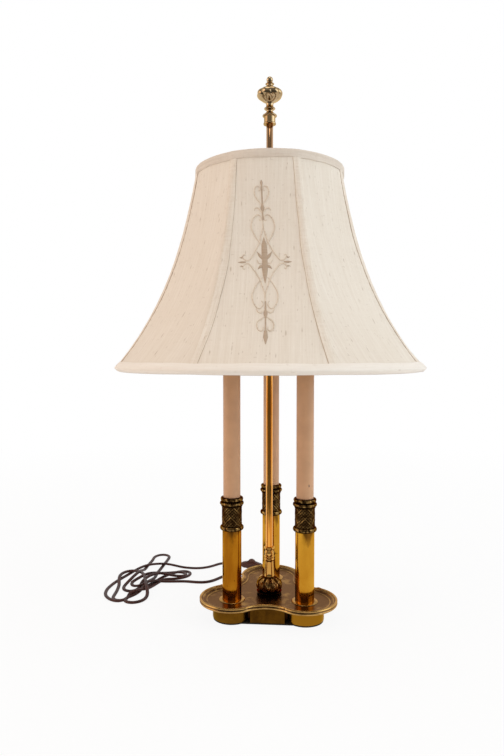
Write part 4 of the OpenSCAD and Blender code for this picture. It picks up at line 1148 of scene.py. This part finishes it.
def make_shade():
    cloth_sheet = put(make_sheet("shade_cloth", "silk", 0.0, 128, 24, True), "silk", "shade", "shade_panels")
    lining = put(make_sheet("shade_lining", "lining", -CLOTH_T, 64, 12, False), "lining", "shade")
    tapes = [make_tape(k) for k in range(PANELS)]
    trims = [make_trim("top_trim", False, "shade_top_trim"), make_trim("bottom_trim", True, "shade_bottom_trim")]
    scrolls = make_embroidery()
    make_wires()


make_shade()

# ---- carrier ----


def make_carrier():
    z = 557
    slider = [(4.55, z), (9, z), (9.8, z + 0.5), (10, z + 1.3), (10, z + 4.2), (9.6, z + 4.6), (9.6, z + 7.4),
              (10, z + 7.8), (10, z + 10), (9.7, z + 10.9), (9, z + 11.5), (8.8, z + 12), (4.55, z + 12),
              (4.55, z)]
    turned("slider_collar", slider, "bright", "shade_carrier", ["shade_slider"], closed=True)


make_carrier()

# ---- room ----


SEEN_FLOOR = 0.9             # the floor's share of plain white by the lamp; the rest keeps the shadow
FRONT_EDGE = (-0.50, -0.34)  # metal mirrors a pale floor behind this, and the dim room before it
FRONT_GLOW = 0.12            # how much of the floor's white metal mirrors before that
FADE = (0.35, 1.6)           # metres from the lamp over which the floor turns plain white
FLOOR_HALF, FLOOR_DROP = 30, 0.0002
SOFT_LIGHT = 0.5


def make_floor():
    floor = Nodes("pale_floor")
    where = floor.coords()
    floor.set(color=floor.mix(floor.levels(floor.noise(where, 2, detail=3), 0.3, 0.7), (0.93, 0.925, 0.92),
                              (0.95, 0.945, 0.94)), rough=0.85)
    path = floor.node("ShaderNodeLightPath")
    seen = floor.math("MAXIMUM", path.outputs["Is Camera Ray"], path.outputs["Is Transmission Ray"])
    axes = floor.node("ShaderNodeSeparateXYZ")
    floor.link(floor.node("ShaderNodeNewGeometry").outputs["Position"], axes.inputs[0])
    glow = floor.node("ShaderNodeEmission")
    mirrored_floor = floor.levels(axes.outputs["Y"], *FRONT_EDGE, FRONT_GLOW, 1)
    floor.feed(floor.math("MAXIMUM", seen, mirrored_floor), glow.inputs["Strength"])
    away = floor.node("ShaderNodeVectorMath", operation="LENGTH")
    floor.link(floor.node("ShaderNodeNewGeometry").outputs["Position"], away.inputs[0])
    share = floor.levels(away.outputs["Value"], *FADE, SEEN_FLOOR, 1)
    mix = floor.node("ShaderNodeMixShader")
    shown = floor.math("MULTIPLY", seen, share)
    floor.feed(floor.math("MAXIMUM", shown, path.outputs["Is Glossy Ray"]), mix.inputs[0])
    floor.link(floor.shader.outputs[0], mix.inputs[1])
    floor.link(glow.outputs[0], mix.inputs[2])
    floor.link(mix.outputs[0], floor.tree.nodes["Material Output"].inputs["Surface"])
    size = FLOOR_HALF
    mesh = bpy.data.meshes.new("floor")
    mesh.from_pydata([(-size, -size, 0), (size, -size, 0), (size, size, 0), (-size, size, 0)], [], [(0, 1, 2, 3)])
    plane = bpy.data.objects.new("floor", mesh)
    bpy.context.scene.collection.objects.link(plane)
    plane.location.z = -FLOOR_DROP
    mesh.materials.append(floor.mat)


def make_world():
    """White to the camera, bright behind the lamp and dim before it in its metal, and soft light on the rest."""
    world = bpy.data.worlds.new("studio")
    world.use_nodes = True
    bpy.context.scene.world = world
    tree = world.node_tree
    tree.nodes.clear()

    def node(kind, values=(), **settings):
        made = tree.nodes.new(kind)
        for key, value in settings.items():
            setattr(made, key, value)
        for socket, value in values:
            if isinstance(value, bpy.types.NodeSocket):
                tree.links.new(value, made.inputs[socket])
            else:
                made.inputs[socket].default_value = value
        return made.outputs[0]

    path = tree.nodes.new("ShaderNodeLightPath").outputs
    way = tree.nodes.new("ShaderNodeTexCoord").outputs["Generated"]
    axes = tree.nodes.new("ShaderNodeSeparateXYZ")
    tree.links.new(way, axes.inputs[0])
    behind = node("ShaderNodeMapRange", [("Value", axes.outputs["Y"]), (1, -0.25), (2, 0.05), (3, 0.34), (4, 1.0)])
    overhead = node("ShaderNodeMapRange", [("Value", axes.outputs["Z"]), (1, 0.35), (2, 0.9), (3, 1.0), (4, 0.5)])
    mirrored_ = node("ShaderNodeMath", [(0, behind), (1, overhead)], operation="MULTIPLY")
    direct = node("ShaderNodeMath", [(0, path["Is Camera Ray"]), (1, path["Is Transmission Ray"])],
                  operation="MAXIMUM")
    strength = node("ShaderNodeMath", [(0, direct), (1, mirrored_)], operation="MAXIMUM")
    white = node("ShaderNodeBackground", [("Color", (1, 1, 1, 1)), ("Strength", strength)])
    soft = node("ShaderNodeBackground", [("Color", (1, 0.965, 0.935, 1)), ("Strength", SOFT_LIGHT)])
    plain = node("ShaderNodeMath", [(0, direct), (1, path["Is Glossy Ray"])], operation="MAXIMUM")
    shown = node("ShaderNodeMixShader", [(0, plain), (1, soft), (2, white)])
    out = tree.nodes.new("ShaderNodeOutputWorld")
    tree.links.new(shown, out.inputs["Surface"])


def area_light(name, place, target, size, watts, colour=(1, 1, 1)):
    data = bpy.data.lights.new(name, "AREA")
    data.shape = "DISK"
    data.size = size
    data.energy = watts
    data.color = colour
    light = bpy.data.objects.new(name, data)
    bpy.context.scene.collection.objects.link(light)
    light.location = place
    light.rotation_euler = (Vector(target) - Vector(place)).to_track_quat("-Z", "Y").to_euler()


make_floor()
make_world()
area_light("key", (2.7, -0.75, 1.5), (0, 0, 0.35), 3, 45, (0.83, 0.93, 1))
area_light("fill", (-2.7, -0.95, 1.2), (0, 0, 0.35), 2.6, 30, (1, 0.77, 0.61))
area_light("top", (0, -0.45, 3.1), (0, 0, 0.35), 2, 18, (1, 0.95, 0.90))
bpy.context.scene.view_settings.view_transform = "Standard"
